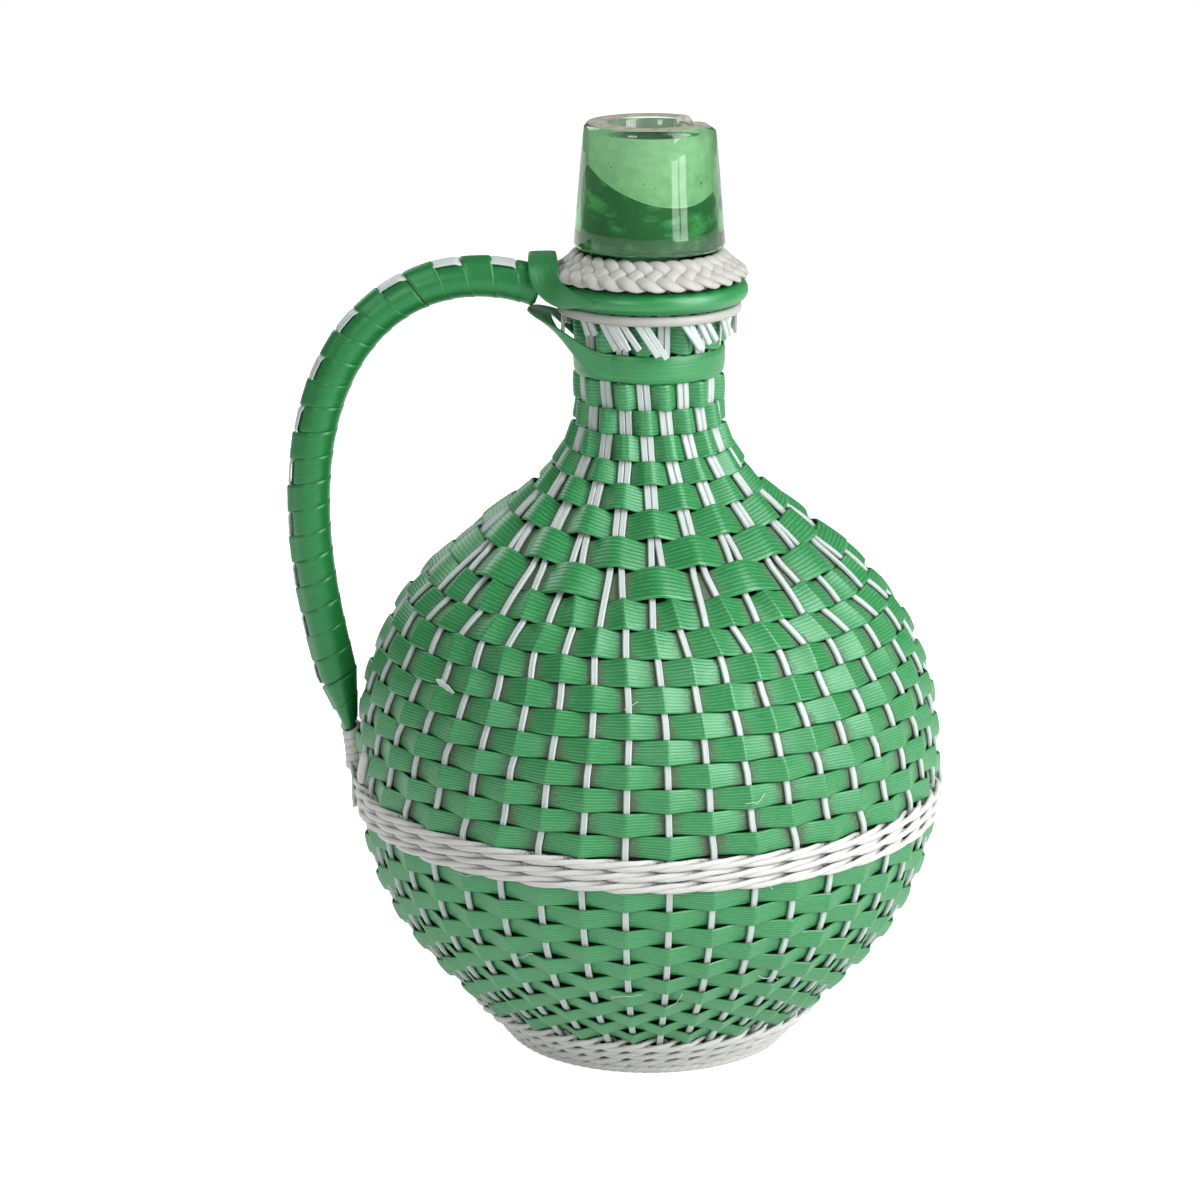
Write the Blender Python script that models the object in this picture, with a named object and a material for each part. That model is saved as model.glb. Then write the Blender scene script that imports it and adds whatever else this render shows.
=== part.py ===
"""Five-litre green glass demijohn in a woven jacket, with a wrapped carrying handle.

Metres, +Z up. The origin is the centre of the woven base's underside, on the
bottle's axis. The handle lies on the -X side and the front faces -Y.
"""
import bpy
import bmesh
from math import acos, cos, floor, hypot, pi, radians, sin
from mathutils import Vector
from mathutils.geometry import interpolate_bezier

# Clearances
GAP = 0.0003
ROW_GAP = 0.0004
CROSSING_MARGIN = 0.0002

# Glass bottle
FOOT_RADIUS = 0.0513
FOOT_ANGLE = radians(46)
FOOT_REACH = 0.0434
BELLY_RADIUS = 0.1075
BELLY_HEIGHT = 0.1103
BELLY_REACH_DOWN = 0.0551
BELLY_REACH_UP = 0.0952
NECK_RADIUS = 0.0227
NECK_HEIGHT = 0.2530
NECK_REACH_DOWN = 0.0600
NECK_TOP_RADIUS = 0.0250
BODY_WALL = 0.0035
BASE_WALL = 0.0060
PUNT_RISE = 0.0080
PUNT_RADIUS = 0.0400
BORE_RADIUS = 0.0145
BORE_DEPTH = 0.0270
COLLAR_HEIGHT = 0.0466
COLLAR_FOOT_RADIUS = 0.0285
RIM_RADIUS = 0.0246
RIM_ROUND = 0.0025
LIP_ROUND = 0.0012
BOTTLE_SIDES = 32

# Jacket
BASE_DISC_THICKNESS = 0.0060
BASE_DISC_BEVEL = 0.0010
STAKE_COUNT = 43
STAKE_WIDTH = 0.0024
STAKE_THICKNESS = 0.0013
STAKE_SPACING = 0.0028
STAKE_LEAN = radians(-13.5)
LEAN_START_ROW = 13
SPLIT_ROW = 7
SPLIT_ROWS = 3
PAIRED_SPREAD = 0.7
LONG_FLAT = 0.0055
RIBBON_THICKNESS = 0.0008
UPPER_ROWS = 18
NECK_ROWS = 3
NECK_ROW_PITCH = 0.0100
LOWER_ROWS = 11
WEAVE_TOP_ABOVE_NECK = 0.0081
BAND_DROP = 0.0175
BAND_STRAND = 0.0031
BAND_STRANDS = 4
BAND_THICKNESS = 0.0050
BASE_BAND_HEIGHT = 0.0207
BASE_BAND_STRANDS = 5
BASE_BAND_THICKNESS = 0.0024
BAND_SIDES = 32
SCALLOP_DEPTH = 0.0009

# Rings round the neck
NECK_BAND_HEIGHT = 0.0105
NECK_BAND_THICKNESS = 0.0016
NECK_ROW_HEIGHT = 0.0120
NECK_RING_SIDES = 24
WHITE_RING_SIZE = 0.0032
WHITE_RING_RADIUS = 0.0330
STRAND_END_LENGTH = 0.0105
STRAND_END_SLANT = radians(30)
STRAND_END_SPLAY = -0.0010
GREEN_RING_SIZE = 0.0082
GREEN_RING_RADIUS = 0.0329
BRAID_HEIGHT = 0.0112
BRAID_OUTER_RADIUS = 0.0380
BRAID_LOBES = 28
BRAID_LOBE_DEPTH = 0.0011

# Handle
HANDLE_REACH = 0.1282
HANDLE_MID_HEIGHT = 0.2070
HANDLE_TOP_REACH = 0.0420
HANDLE_TOP_RISE = 0.0150
HANDLE_SHOULDER_REACH = 0.0740
HANDLE_LOWER_REACH = 0.0420
HANDLE_FOOT_REACH = 0.0200
HANDLE_FOOT_FLARE = -0.0010
HANDLE_CORE_RADIUS = 0.0064
HANDLE_TAPER_LENGTH = 0.0380
HANDLE_TONGUE_LENGTH = 0.0150
HANDLE_TONGUE_THICKNESS = 0.0030
HANDLE_TONGUE_WIDTH = 0.0090
HANDLE_STATIONS = 28
WRAP_START = 0.0015
WRAP_PITCH = 0.0098
WRAP_GAP = 0.0009
WRAP_THICKNESS = 0.0010
STRIP_WIDTH = 0.0046
STRIP_THICKNESS = 0.0011
LASHING_WIDTH = 0.0085
LASHING_THICKNESS = 0.0015
LASHING_STRANDS = 3
TIE_THICKNESS = 0.0012
TIE_WIDTH = 0.0090
TIE_STATIONS = (
    (0.0, 0.0435, 0.0297, 0.0),
    (13.0, 0.0420, 0.0288, 15.0),
    (26.0, 0.0380, 0.0240, 45.0),
    (39.0, 0.0333, 0.0175, 72.0),
    (52.0, 0.0306, 0.0140, 90.0),
    (66.0, 0.0305, 0.0135, 90.0),
)

GREEN_GLASS = (0.03, 0.22, 0.08)
GREEN_RIBBON = (0.03, 0.26, 0.09)
WHITE_STRAND = (0.74, 0.74, 0.70)
BACK = radians(90)


def clear_scene():
    """Remove every object of the open scene."""
    for old in list(bpy.data.objects):
        bpy.data.objects.remove(old, do_unlink=True)


def material(name, colour, roughness, metallic=0.0):
    """Make a plain Principled material."""
    made = bpy.data.materials.new(name)
    made.use_nodes = True
    shader = made.node_tree.nodes["Principled BSDF"]
    shader.inputs["Base Color"].default_value = (*colour, 1.0)
    shader.inputs["Roughness"].default_value = roughness
    shader.inputs["Metallic"].default_value = metallic
    made.diffuse_color = (*colour, 1.0)
    return made


def add_object(name, mesh_data, look, sharp_angle=radians(40)):
    """Put a finished bmesh into the scene as one named object."""
    bmesh.ops.recalc_face_normals(mesh_data, faces=mesh_data.faces)
    mesh = bpy.data.meshes.new(name)
    mesh_data.to_mesh(mesh)
    mesh_data.free()
    mesh.materials.append(look)
    mesh.shade_smooth()
    mesh.set_sharp_from_angle(angle=sharp_angle)
    made = bpy.data.objects.new(name, mesh)
    bpy.context.scene.collection.objects.link(made)
    return made


def turned(name, outline, sides, look, closed=False):
    """Spin an outline of (radius, height) points about the bottle's axis."""
    body = bmesh.new()
    points = [body.verts.new((radius, 0.0, height)) for radius, height in outline]
    edges = [body.edges.new(pair) for pair in zip(points, points[1:])]
    if closed:
        edges.append(body.edges.new((points[-1], points[0])))
    bmesh.ops.spin(body, geom=points + edges, cent=(0, 0, 0), axis=(0, 0, 1), angle=2 * pi, steps=sides)
    bmesh.ops.remove_doubles(body, verts=body.verts, dist=1e-6)
    return add_object(name, body, look)


def loft(name, sections, look, closed=False):
    """Join matching cross-sections, in order, into one solid strip or ring."""
    body = bmesh.new()
    rings = [[body.verts.new(point) for point in section] for section in sections]
    pairs = list(zip(rings, rings[1:]))
    if closed:
        pairs.append((rings[-1], rings[0]))
    count = len(rings[0])
    for first, second in pairs:
        for side in range(count):
            after = (side + 1) % count
            body.faces.new((first[side], first[after], second[after], second[side]))
    if not closed:
        body.faces.new(rings[0][::-1])
        body.faces.new(rings[-1])
    return add_object(name, body, look)


def polar(radius, azimuth, height, aside=0.0):
    """A point at an azimuth, moved aside along the tangent there."""
    x = radius * cos(azimuth) - aside * sin(azimuth)
    y = radius * sin(azimuth) + aside * cos(azimuth)
    return Vector((x, y, height))


def bezier(start, start_handle, end_handle, end, steps=48):
    """Points of a Bezier stretch given by (radius, height) pairs."""
    controls = [Vector((*point, 0.0)) for point in (start, start_handle, end_handle, end)]
    return [(point.x, point.y) for point in interpolate_bezier(*controls, steps)]


class Outline:
    """The glass body's half outline, and the facets that the jacket shares with it."""

    def __init__(self):
        self.foot_height = BASE_DISC_THICKNESS + GAP
        foot = (FOOT_RADIUS, self.foot_height)
        foot_handle = (
            FOOT_RADIUS + FOOT_REACH * cos(FOOT_ANGLE),
            self.foot_height + FOOT_REACH * sin(FOOT_ANGLE),
        )
        belly = (BELLY_RADIUS, BELLY_HEIGHT)
        neck = (NECK_RADIUS, NECK_HEIGHT)
        lower = bezier(foot, foot_handle, (BELLY_RADIUS, BELLY_HEIGHT - BELLY_REACH_DOWN), belly)
        upper = bezier(
            belly,
            (BELLY_RADIUS, BELLY_HEIGHT + BELLY_REACH_UP),
            (NECK_RADIUS, NECK_HEIGHT - NECK_REACH_DOWN),
            neck,
        )
        self.weave_top = NECK_HEIGHT + WEAVE_TOP_ABOVE_NECK
        self.neck_band_top = self.weave_top + GAP + NECK_BAND_HEIGHT
        self.neck_row_top = self.neck_band_top + ROW_GAP + NECK_ROW_HEIGHT
        self.white_ring_top = self.neck_row_top + GAP + WHITE_RING_SIZE
        self.green_ring_top = self.white_ring_top + GAP + GREEN_RING_SIZE
        self.collar_foot = self.green_ring_top + GAP + BRAID_HEIGHT + GAP
        self.rim_height = self.collar_foot + COLLAR_HEIGHT
        self.stake_top = self.green_ring_top
        self.curve = lower + upper[1:] + [(NECK_TOP_RADIUS, self.stake_top)]
        self.band_bottom = BELLY_HEIGHT - BAND_DROP
        self.band_top = self.band_bottom + BAND_STRANDS * BAND_STRAND
        self.upper_levels = self.make_upper_levels()
        self.lower_levels = self.levels_along(self.band_bottom, BASE_BAND_HEIGHT, LOWER_ROWS)
        self.knots = self.make_knots()
        self.corners = self.make_corners()

    def radius_at(self, height):
        """Glass radius on the smooth outline at a height."""
        for (r0, z0), (r1, z1) in zip(self.curve, self.curve[1:]):
            if z0 <= height <= z1:
                return r0 + (r1 - r0) * (height - z0) / (z1 - z0)
        return self.curve[0][0] if height < self.curve[0][1] else self.curve[-1][0]

    def levels_along(self, start, end, rows):
        """Heights from start down to end, evenly spaced along the outline."""
        steps = 400
        heights = [start + (end - start) * step / steps for step in range(steps + 1)]
        run = [0.0]
        for upper, lower in zip(heights, heights[1:]):
            run.append(run[-1] + hypot(upper - lower, self.radius_at(upper) - self.radius_at(lower)))
        levels = []
        for row in range(rows + 1):
            wanted = run[-1] * row / rows
            step = min(range(steps + 1), key=lambda index: abs(run[index] - wanted))
            levels.append(heights[step])
        return levels

    def make_upper_levels(self):
        """Heights between the rows above the belly band: taller rows on the neck."""
        neck_rows = min(NECK_ROWS, UPPER_ROWS - 1)
        levels = [self.weave_top - row * NECK_ROW_PITCH for row in range(neck_rows)]
        start = self.weave_top - neck_rows * NECK_ROW_PITCH
        rest = UPPER_ROWS - neck_rows
        return levels + [start + (self.band_top - start) * row / rest for row in range(rest + 1)]

    def make_knots(self):
        """Heights, from the top down, of the facets' corners: always between two rows."""
        split_end = SPLIT_ROW + SPLIT_ROWS
        rows = {0, 2, 4, SPLIT_ROW, split_end, *range(split_end + 3, UPPER_ROWS - 1, 3)}
        upper = [self.upper_levels[row] for row in sorted(rows) if row < UPPER_ROWS]
        lower_rows = list(range(0, LOWER_ROWS - 1, 4)) + [LOWER_ROWS]
        lower = [self.lower_levels[row] for row in lower_rows]
        return [self.stake_top] + upper + lower + [self.foot_height]

    def make_corners(self):
        """Each knot's point on the glass, with the vector that offsets its facets evenly."""
        points = [Vector((self.radius_at(height), height)) for height in self.knots]
        normals = []
        for upper, lower in zip(points, points[1:]):
            along = (lower - upper).normalized()
            normals.append(Vector((-along.y, along.x)))
        mitres = [normals[0]]
        for before, after in zip(normals, normals[1:]):
            mitres.append((before + after) / (1.0 + before.dot(after)))
        mitres.append(normals[-1])
        return list(zip(points, mitres))

    def facet(self, height):
        """The facet that holds a height, and how far down it the height lies."""
        last = len(self.knots) - 2
        for index in range(last + 1):
            upper, lower = self.knots[index], self.knots[index + 1]
            if height >= lower or index == last:
                return index, (upper - height) / (upper - lower)

    def place(self, height, depth):
        """(radius, height) of the point this far out from the glass at a height."""
        index, share = self.facet(height)
        upper, upper_mitre = self.corners[index]
        lower, lower_mitre = self.corners[index + 1]
        return (upper + upper_mitre * depth).lerp(lower + lower_mitre * depth, share)


class Stakes:
    """Azimuths of the jacket's upright strands, paired on the neck and even below."""

    def __init__(self, outline):
        self.outline = outline
        self.step = 2 * pi / STAKE_COUNT
        first = 2 + STAKE_COUNT % 2
        self.groups = [list(range(first))]
        self.groups += [[index, index + 1] for index in range(first, STAKE_COUNT, 2)]
        self.inner = 0.0
        self.outer = STAKE_THICKNESS

    def seat(self, depth):
        """Set how far out from the glass the strands' inner faces lie."""
        self.inner = depth
        self.outer = depth + STAKE_THICKNESS

    def even_azimuth(self, stake):
        """Azimuth where the strands are spread evenly."""
        return BACK + (stake - (len(self.groups[0]) - 1) / 2) * self.step

    def lean(self, height):
        """How far the strands have turned about the axis at a height."""
        levels = self.outline.upper_levels
        start = levels[min(LEAN_START_ROW, UPPER_ROWS - 1)]
        share = (height - start) / (self.outline.weave_top - start)
        return STAKE_LEAN * min(max(share, 0.0), 1.0) ** 1.5

    def spread(self, height):
        """0 where the strands lie side by side, 1 where they are evenly spaced."""
        levels = self.outline.upper_levels
        top = levels[min(SPLIT_ROW, UPPER_ROWS)]
        bottom = levels[min(SPLIT_ROW + SPLIT_ROWS, UPPER_ROWS)]
        if bottom == top:
            return 0.0 if height >= top else 1.0
        return min(max((top - height) / (top - bottom), 0.0), 1.0)

    def knot_azimuth(self, group, member, height):
        """Azimuth of one strand of a group at a knot of the outline."""
        even = self.even_azimuth(group[member])
        centre = sum(self.even_azimuth(stake) for stake in group) / len(group)
        radius = self.outline.place(height, (self.inner + self.outer) / 2).x
        paired = centre + (member - (len(group) - 1) / 2) * STAKE_SPACING / radius
        spread = self.spread(height)
        return paired + (even - paired) * spread + self.lean(height)

    def azimuth(self, group, member, height):
        """Azimuth of one strand at any height, straight between two knots."""
        index, share = self.outline.facet(height)
        upper = self.knot_azimuth(group, member, self.outline.knots[index])
        lower = self.knot_azimuth(group, member, self.outline.knots[index + 1])
        return upper + (lower - upper) * share


def crossings(stakes, top, bottom):
    """The strands, or groups of them, that a ribbon passes on its way round one row.

    Each is (azimuth, half width of the strands' ridges, half width of their faces).
    """
    outline = stakes.outline
    middle = (top + bottom) / 2
    together = stakes.spread(middle) < PAIRED_SPREAD
    found = []
    for group in stakes.groups:
        members = range(len(group))
        parts = [list(members)] if together else [[member] for member in members]
        for part in parts:
            azimuths = [stakes.azimuth(group, member, middle) for member in part]
            centre = sum(azimuths) / len(azimuths)
            reach = 0.0
            for height in (top, middle, bottom):
                for member in part:
                    away = abs(stakes.azimuth(group, member, height) - centre)
                    reach = max(reach, away * outline.place(height, stakes.outer).x)
            found.append((centre, reach + CROSSING_MARGIN, reach + STAKE_WIDTH / 2 + CROSSING_MARGIN))
    return found


def flat_steps(reach):
    """Offsets along a ribbon's flat stretch, with a middle one where it is long."""
    return (-reach, 0.0, reach) if reach > LONG_FLAT else (-reach, reach)


def clearances(stakes, top, bottom):
    """How much further a ribbon must stand off a row's strands, over and under them."""
    found = crossings(stakes, top, bottom)
    outline = stakes.outline
    radius = min(outline.place(height, stakes.inner).x for height in (top, bottom))
    if stakes.spread((top + bottom) / 2) < 1.0:
        spans = [2 * faces / (len(flat_steps(faces)) - 1) for _, _, faces in found]
        return 0.0, radius * (1.0 - cos(max(spans) / 2 / radius))
    turns = [after[0] - before[0] for before, after in zip(found, found[1:])]
    turn = min(turns)
    ridge = max(ridges for _, ridges, _ in found)
    face = max(faces for _, _, faces in found)
    bow = radius * (1.0 - cos(turn))
    swing = STAKE_THICKNESS + RIBBON_THICKNESS + 2 * GAP
    lift = dip = 0.0
    for _ in range(4):
        total = swing + lift + dip
        lift = ridge * (total + bow) / (radius * sin(turn))
        dip = face * max(total - bow / 2, 0.0) / (radius * sin(turn))
    return lift, dip


def ribbon_section(outline, azimuth, aside, top, bottom, depth):
    """A ribbon's three corners: flat against the glass side, ridged on the other."""
    corners = []
    for height, out in ((top, 0.0), (bottom, 0.0), ((top + bottom) / 2, RIBBON_THICKNESS)):
        place = outline.place(height, depth + out)
        corners.append(polar(place.x, azimuth, place.y, aside))
    return corners


def ribbon_sections(stakes, levels, start_over):
    """One unbroken ribbon that weaves over and under, a turn on each row."""
    outline = stakes.outline
    over = start_over
    sections = []
    for top, bottom in levels:
        upper, lower = top - ROW_GAP / 2, bottom + ROW_GAP / 2
        lift, dip = clearances(stakes, top, bottom)
        slanted = stakes.spread((top + bottom) / 2) < 1.0
        for azimuth, ridges, faces in crossings(stakes, top, bottom):
            if over:
                depth = stakes.outer + GAP + lift
                reach = (ridges + faces) / 2
            else:
                depth = stakes.inner - GAP - RIBBON_THICKNESS - dip
                reach = faces
            steps = flat_steps(reach) if slanted else (0.0,)
            for aside in steps:
                turn = aside / outline.place(upper, depth).x if len(steps) == 3 else 0.0
                side = 0.0 if turn else aside
                sections.append(ribbon_section(outline, azimuth + turn, side, upper, lower, depth))
            over = not over
    return sections


def make_bottle(outline, look):
    """The hollow glass bottle, with its punt, neck and thick conical collar."""
    inside_foot = outline.foot_height + BASE_WALL
    foot = outline.collar_foot
    rim = outline.rim_height
    outer = [(0.0, outline.foot_height + PUNT_RISE), (PUNT_RADIUS, outline.foot_height)]
    outer += [tuple(point) for point, _ in reversed(outline.corners)]
    outer.append((NECK_TOP_RADIUS, foot))
    outer.append((COLLAR_FOOT_RADIUS - LIP_ROUND, foot))
    outer.append((COLLAR_FOOT_RADIUS, foot + LIP_ROUND))
    for turn in range(4):
        angle = pi / 2 * turn / 3
        outer.append((
            RIM_RADIUS - RIM_ROUND * (1 - cos(angle)),
            rim - RIM_ROUND * (1 - sin(angle)),
        ))
    outer.append((BORE_RADIUS + LIP_ROUND, rim))
    outer.append((BORE_RADIUS, rim - LIP_ROUND))
    outer.append((BORE_RADIUS, rim - BORE_DEPTH))
    for height in outline.knots:
        inside = outline.place(height, -BODY_WALL)
        if inside.y < rim - 2 * BORE_DEPTH and inside.y > inside_foot + BODY_WALL:
            outer.append(tuple(inside))
    outer.append((FOOT_RADIUS - BODY_WALL / 2, inside_foot))
    outer.append((0.0, inside_foot + PUNT_RISE))
    return turned("glass_bottle", outer, BOTTLE_SIDES, look)


def make_base_disc(look):
    """The woven disc that the glass stands on."""
    radius = FOOT_RADIUS - 3 * GAP
    outline = [
        (0.0, 0.0),
        (radius - BASE_DISC_BEVEL, 0.0),
        (radius, BASE_DISC_BEVEL),
        (radius, BASE_DISC_THICKNESS),
        (0.0, BASE_DISC_THICKNESS),
    ]
    return turned("base_disc", outline, BOTTLE_SIDES, look)


def strand_ridges(outline, top, bottom, count, depth):
    """Outer points of a band of strands lying one above another, from the top down."""
    points = []
    for strand in range(count):
        high = top + (bottom - top) * strand / count
        low = top + (bottom - top) * (strand + 1) / count
        points.append(tuple(outline.place(high, depth - SCALLOP_DEPTH)))
        points.append(tuple(outline.place((high + low) / 2, depth)))
    points.append(tuple(outline.place(bottom, depth - SCALLOP_DEPTH)))
    return points


def inner_clearance(radius, sides):
    """Extra radius that keeps a ring of flat sides clear of what it goes round."""
    return radius * (1 / cos(pi / sides) - 1)


def make_belly_band(stakes, look):
    """The twined band round the widest part."""
    outline = stakes.outline
    top, bottom = outline.band_top - ROW_GAP / 2, outline.band_bottom + ROW_GAP / 2
    near = stakes.outer + GAP + inner_clearance(BELLY_RADIUS, BAND_SIDES)
    depth = near + BAND_THICKNESS
    profile = strand_ridges(outline, top, bottom, BAND_STRANDS, depth)
    profile += [tuple(outline.place(bottom, near)), tuple(outline.place(top, near))]
    return turned("belly_band", profile, BAND_SIDES, look, closed=True)


def make_base_band(stakes, look):
    """The twined foot of the jacket, flat where it stands."""
    outline = stakes.outline
    top = BASE_BAND_HEIGHT - ROW_GAP / 2
    foot = outline.foot_height
    near = stakes.outer + GAP + inner_clearance(outline.radius_at(top), BAND_SIDES)
    depth = near + BASE_BAND_THICKNESS
    profile = strand_ridges(outline, top, foot, BASE_BAND_STRANDS - 1, depth)
    rolled = outline.place(foot, depth).x
    profile += [(rolled - GAP, foot / 3), (rolled - foot / 3, 0.0), (FOOT_RADIUS + GAP, 0.0)]
    profile += [tuple(outline.place(foot, near)), tuple(outline.place(top, near))]
    return turned("base_band", profile, BAND_SIDES, look, closed=True)


def make_stakes(stakes, look):
    """The upright strands, each from the base's rim to the plait at the neck."""
    outline = stakes.outline
    for group in stakes.groups:
        for member, stake in enumerate(group):
            sections = []
            for height in outline.knots:
                azimuth = stakes.knot_azimuth(group, member, height)
                inner = outline.place(height, stakes.inner)
                outer = outline.place(height, stakes.outer)
                sections.append([
                    polar(inner.x, azimuth, inner.y, -STAKE_WIDTH / 2),
                    polar(inner.x, azimuth, inner.y, STAKE_WIDTH / 2),
                    polar(outer.x, azimuth, outer.y),
                ])
            loft(f"stake_{stake + 1:02d}", sections, look)


def make_neck_band(stakes, look):
    """The broad ribbon drawn round the neck."""
    outline = stakes.outline
    bottom = outline.weave_top + GAP
    top = outline.neck_band_top
    near = stakes.outer + GAP + inner_clearance(NECK_TOP_RADIUS, NECK_RING_SIDES)
    far = near + NECK_BAND_THICKNESS
    edge = (near + far) / 2
    profile = [outline.place(top, near), outline.place(top, edge)]
    profile += [outline.place(top - NECK_BAND_THICKNESS, far)]
    profile += [outline.place(bottom + NECK_BAND_THICKNESS, far)]
    profile += [outline.place(bottom, edge), outline.place(bottom, near)]
    return turned("neck_band", [tuple(point) for point in profile], NECK_RING_SIDES, look, closed=True)


def make_white_ring(outline, look, ends):
    """The white strand round the neck, with the jacket's cut ends hanging from it."""
    bottom = outline.neck_row_top + GAP
    half = WHITE_RING_SIZE / 2
    body = bmesh.new()
    rings = []
    for step in range(2 * ends):
        azimuth = pi * step / ends
        corners = (
            (WHITE_RING_RADIUS - half / 2, bottom),
            (WHITE_RING_RADIUS + half / 2, bottom),
            (WHITE_RING_RADIUS + half, bottom + WHITE_RING_SIZE),
            (WHITE_RING_RADIUS - half, bottom + WHITE_RING_SIZE),
        )
        rings.append([body.verts.new(polar(radius, azimuth, height)) for radius, height in corners])
    undersides = []
    for step, first in enumerate(rings):
        second = rings[(step + 1) % len(rings)]
        for side in range(4):
            after = (side + 1) % 4
            face = body.faces.new((first[side], first[after], second[after], second[side]))
            if side == 0 and step % 2 == 0:
                undersides.append((face, pi * (step + 0.5) / ends))
    for face, azimuth in undersides:
        made = bmesh.ops.extrude_discrete_faces(body, faces=[face])
        drop = STRAND_END_LENGTH * cos(STRAND_END_SLANT)
        aside = STRAND_END_LENGTH * sin(STRAND_END_SLANT)
        move = polar(STRAND_END_SPLAY, azimuth, -drop, aside)
        for vert in made["faces"][0].verts:
            vert.co += move
    return add_object("neck_ring_white", body, look)


def make_green_ring(outline, look):
    """The thick green ring that holds the handle's end to the neck."""
    middle = outline.white_ring_top + GAP + GREEN_RING_SIZE / 2
    half = GREEN_RING_SIZE / 2
    profile = []
    for corner in range(6):
        angle = pi / 6 - corner * pi / 3
        profile.append((GREEN_RING_RADIUS + half * cos(angle), middle + half * sin(angle)))
    return turned("neck_ring_green", profile, NECK_RING_SIDES, look, closed=True)


def make_braid(stakes, look):
    """The plaited border on top of the rings, in lobes."""
    outline = stakes.outline
    inner = NECK_TOP_RADIUS + 2 * GAP
    bottom = outline.green_ring_top + GAP
    top = bottom + BRAID_HEIGHT
    edge = BRAID_HEIGHT / 4
    sections = []
    for step in range(2 * BRAID_LOBES):
        azimuth = pi * step / BRAID_LOBES
        outer = BRAID_OUTER_RADIUS - BRAID_LOBE_DEPTH * (step % 2)
        dip = BRAID_LOBE_DEPTH * (step % 2)
        corners = (
            (inner, bottom),
            (outer - edge, bottom),
            (outer, bottom + edge),
            (outer, top - 2 * edge),
            (outer - 1.5 * edge, top - dip),
            (inner, top - dip),
        )
        sections.append([polar(radius, azimuth, height) for radius, height in corners])
    return loft("neck_braid", sections, look, closed=True)


class HandlePath:
    """The handle's centre line, in the plane through the axis on the -X side."""

    def __init__(self, stakes):
        outline = stakes.outline
        ring = GREEN_RING_RADIUS + GREEN_RING_SIZE / 2
        tilt = HANDLE_CORE_RADIUS * HANDLE_TOP_RISE / hypot(HANDLE_TOP_REACH, HANDLE_TOP_RISE)
        start = (
            max(ring, BRAID_OUTER_RADIUS) + 2 * GAP + tilt,
            outline.green_ring_top - GREEN_RING_SIZE / 2,
        )
        mid = (HANDLE_REACH, HANDLE_MID_HEIGHT)
        weave = stakes.outer + GAP + RIBBON_THICKNESS + self.widest_lift(stakes)
        self.foot_seat = outline.place(outline.band_top, weave + GAP).x
        foot = (self.foot_seat + HANDLE_TONGUE_THICKNESS / 2, outline.band_top + GAP)
        upper = bezier(
            start,
            (start[0] + HANDLE_TOP_REACH, start[1] + HANDLE_TOP_RISE),
            (HANDLE_REACH, HANDLE_MID_HEIGHT + HANDLE_SHOULDER_REACH),
            mid,
        )
        lower = bezier(
            mid,
            (HANDLE_REACH, HANDLE_MID_HEIGHT - HANDLE_LOWER_REACH),
            (foot[0] + HANDLE_FOOT_FLARE, foot[1] + HANDLE_FOOT_REACH),
            foot,
        )
        self.points = [Vector(point) for point in upper + lower[1:]]
        self.runs = [0.0]
        for before, after in zip(self.points, self.points[1:]):
            self.runs.append(self.runs[-1] + (after - before).length)
        self.length = self.runs[-1]

    @staticmethod
    def widest_lift(stakes):
        """The most that a ribbon stands off the strands beside the handle's foot."""
        levels = stakes.outline.upper_levels[-5:]
        return max(clearances(stakes, top, bottom)[0] for top, bottom in zip(levels, levels[1:]))

    def at(self, run):
        """Centre point and forward direction at a distance along the handle."""
        run = min(max(run, 0.0), self.length)
        for index, (before, after) in enumerate(zip(self.points, self.points[1:])):
            if run <= self.runs[index + 1]:
                share = (run - self.runs[index]) / (self.runs[index + 1] - self.runs[index])
                ahead = self.points[min(index + 2, len(self.points) - 1)]
                behind = self.points[max(index - 1, 0)]
                return before.lerp(after, share), (ahead - behind).normalized()
        return self.points[-1], (self.points[-1] - self.points[-2]).normalized()

    def point(self, run, out, aside):
        """A point beside the centre line: out is away from the bottle, aside is along Y."""
        centre, forward = self.at(run)
        radius = centre.x - forward.y * out
        height = centre.y + forward.x * out
        return Vector((-radius, aside, height))

    def core(self, run):
        """Half thickness and half width of the core, flattened towards its foot."""
        start = self.length - HANDLE_TAPER_LENGTH
        end = self.length - HANDLE_TONGUE_LENGTH
        share = min(max((run - start) / (end - start), 0.0), 1.0)
        thick = HANDLE_CORE_RADIUS + (HANDLE_TONGUE_THICKNESS / 2 - HANDLE_CORE_RADIUS) * share
        wide = HANDLE_CORE_RADIUS + (HANDLE_TONGUE_WIDTH / 2 - HANDLE_CORE_RADIUS) * share
        return thick, wide


def make_handle_core(path, look):
    """The stiff core of the handle, from the neck's rings down to the belly band."""
    sections = []
    for station in range(HANDLE_STATIONS + 1):
        run = path.length * station / HANDLE_STATIONS
        thick, wide = path.core(run)
        sections.append([
            path.point(run, thick * cos(pi / 4 * corner), wide * sin(pi / 4 * corner))
            for corner in range(8)
        ])
    return loft("handle_core", sections, look)


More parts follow.
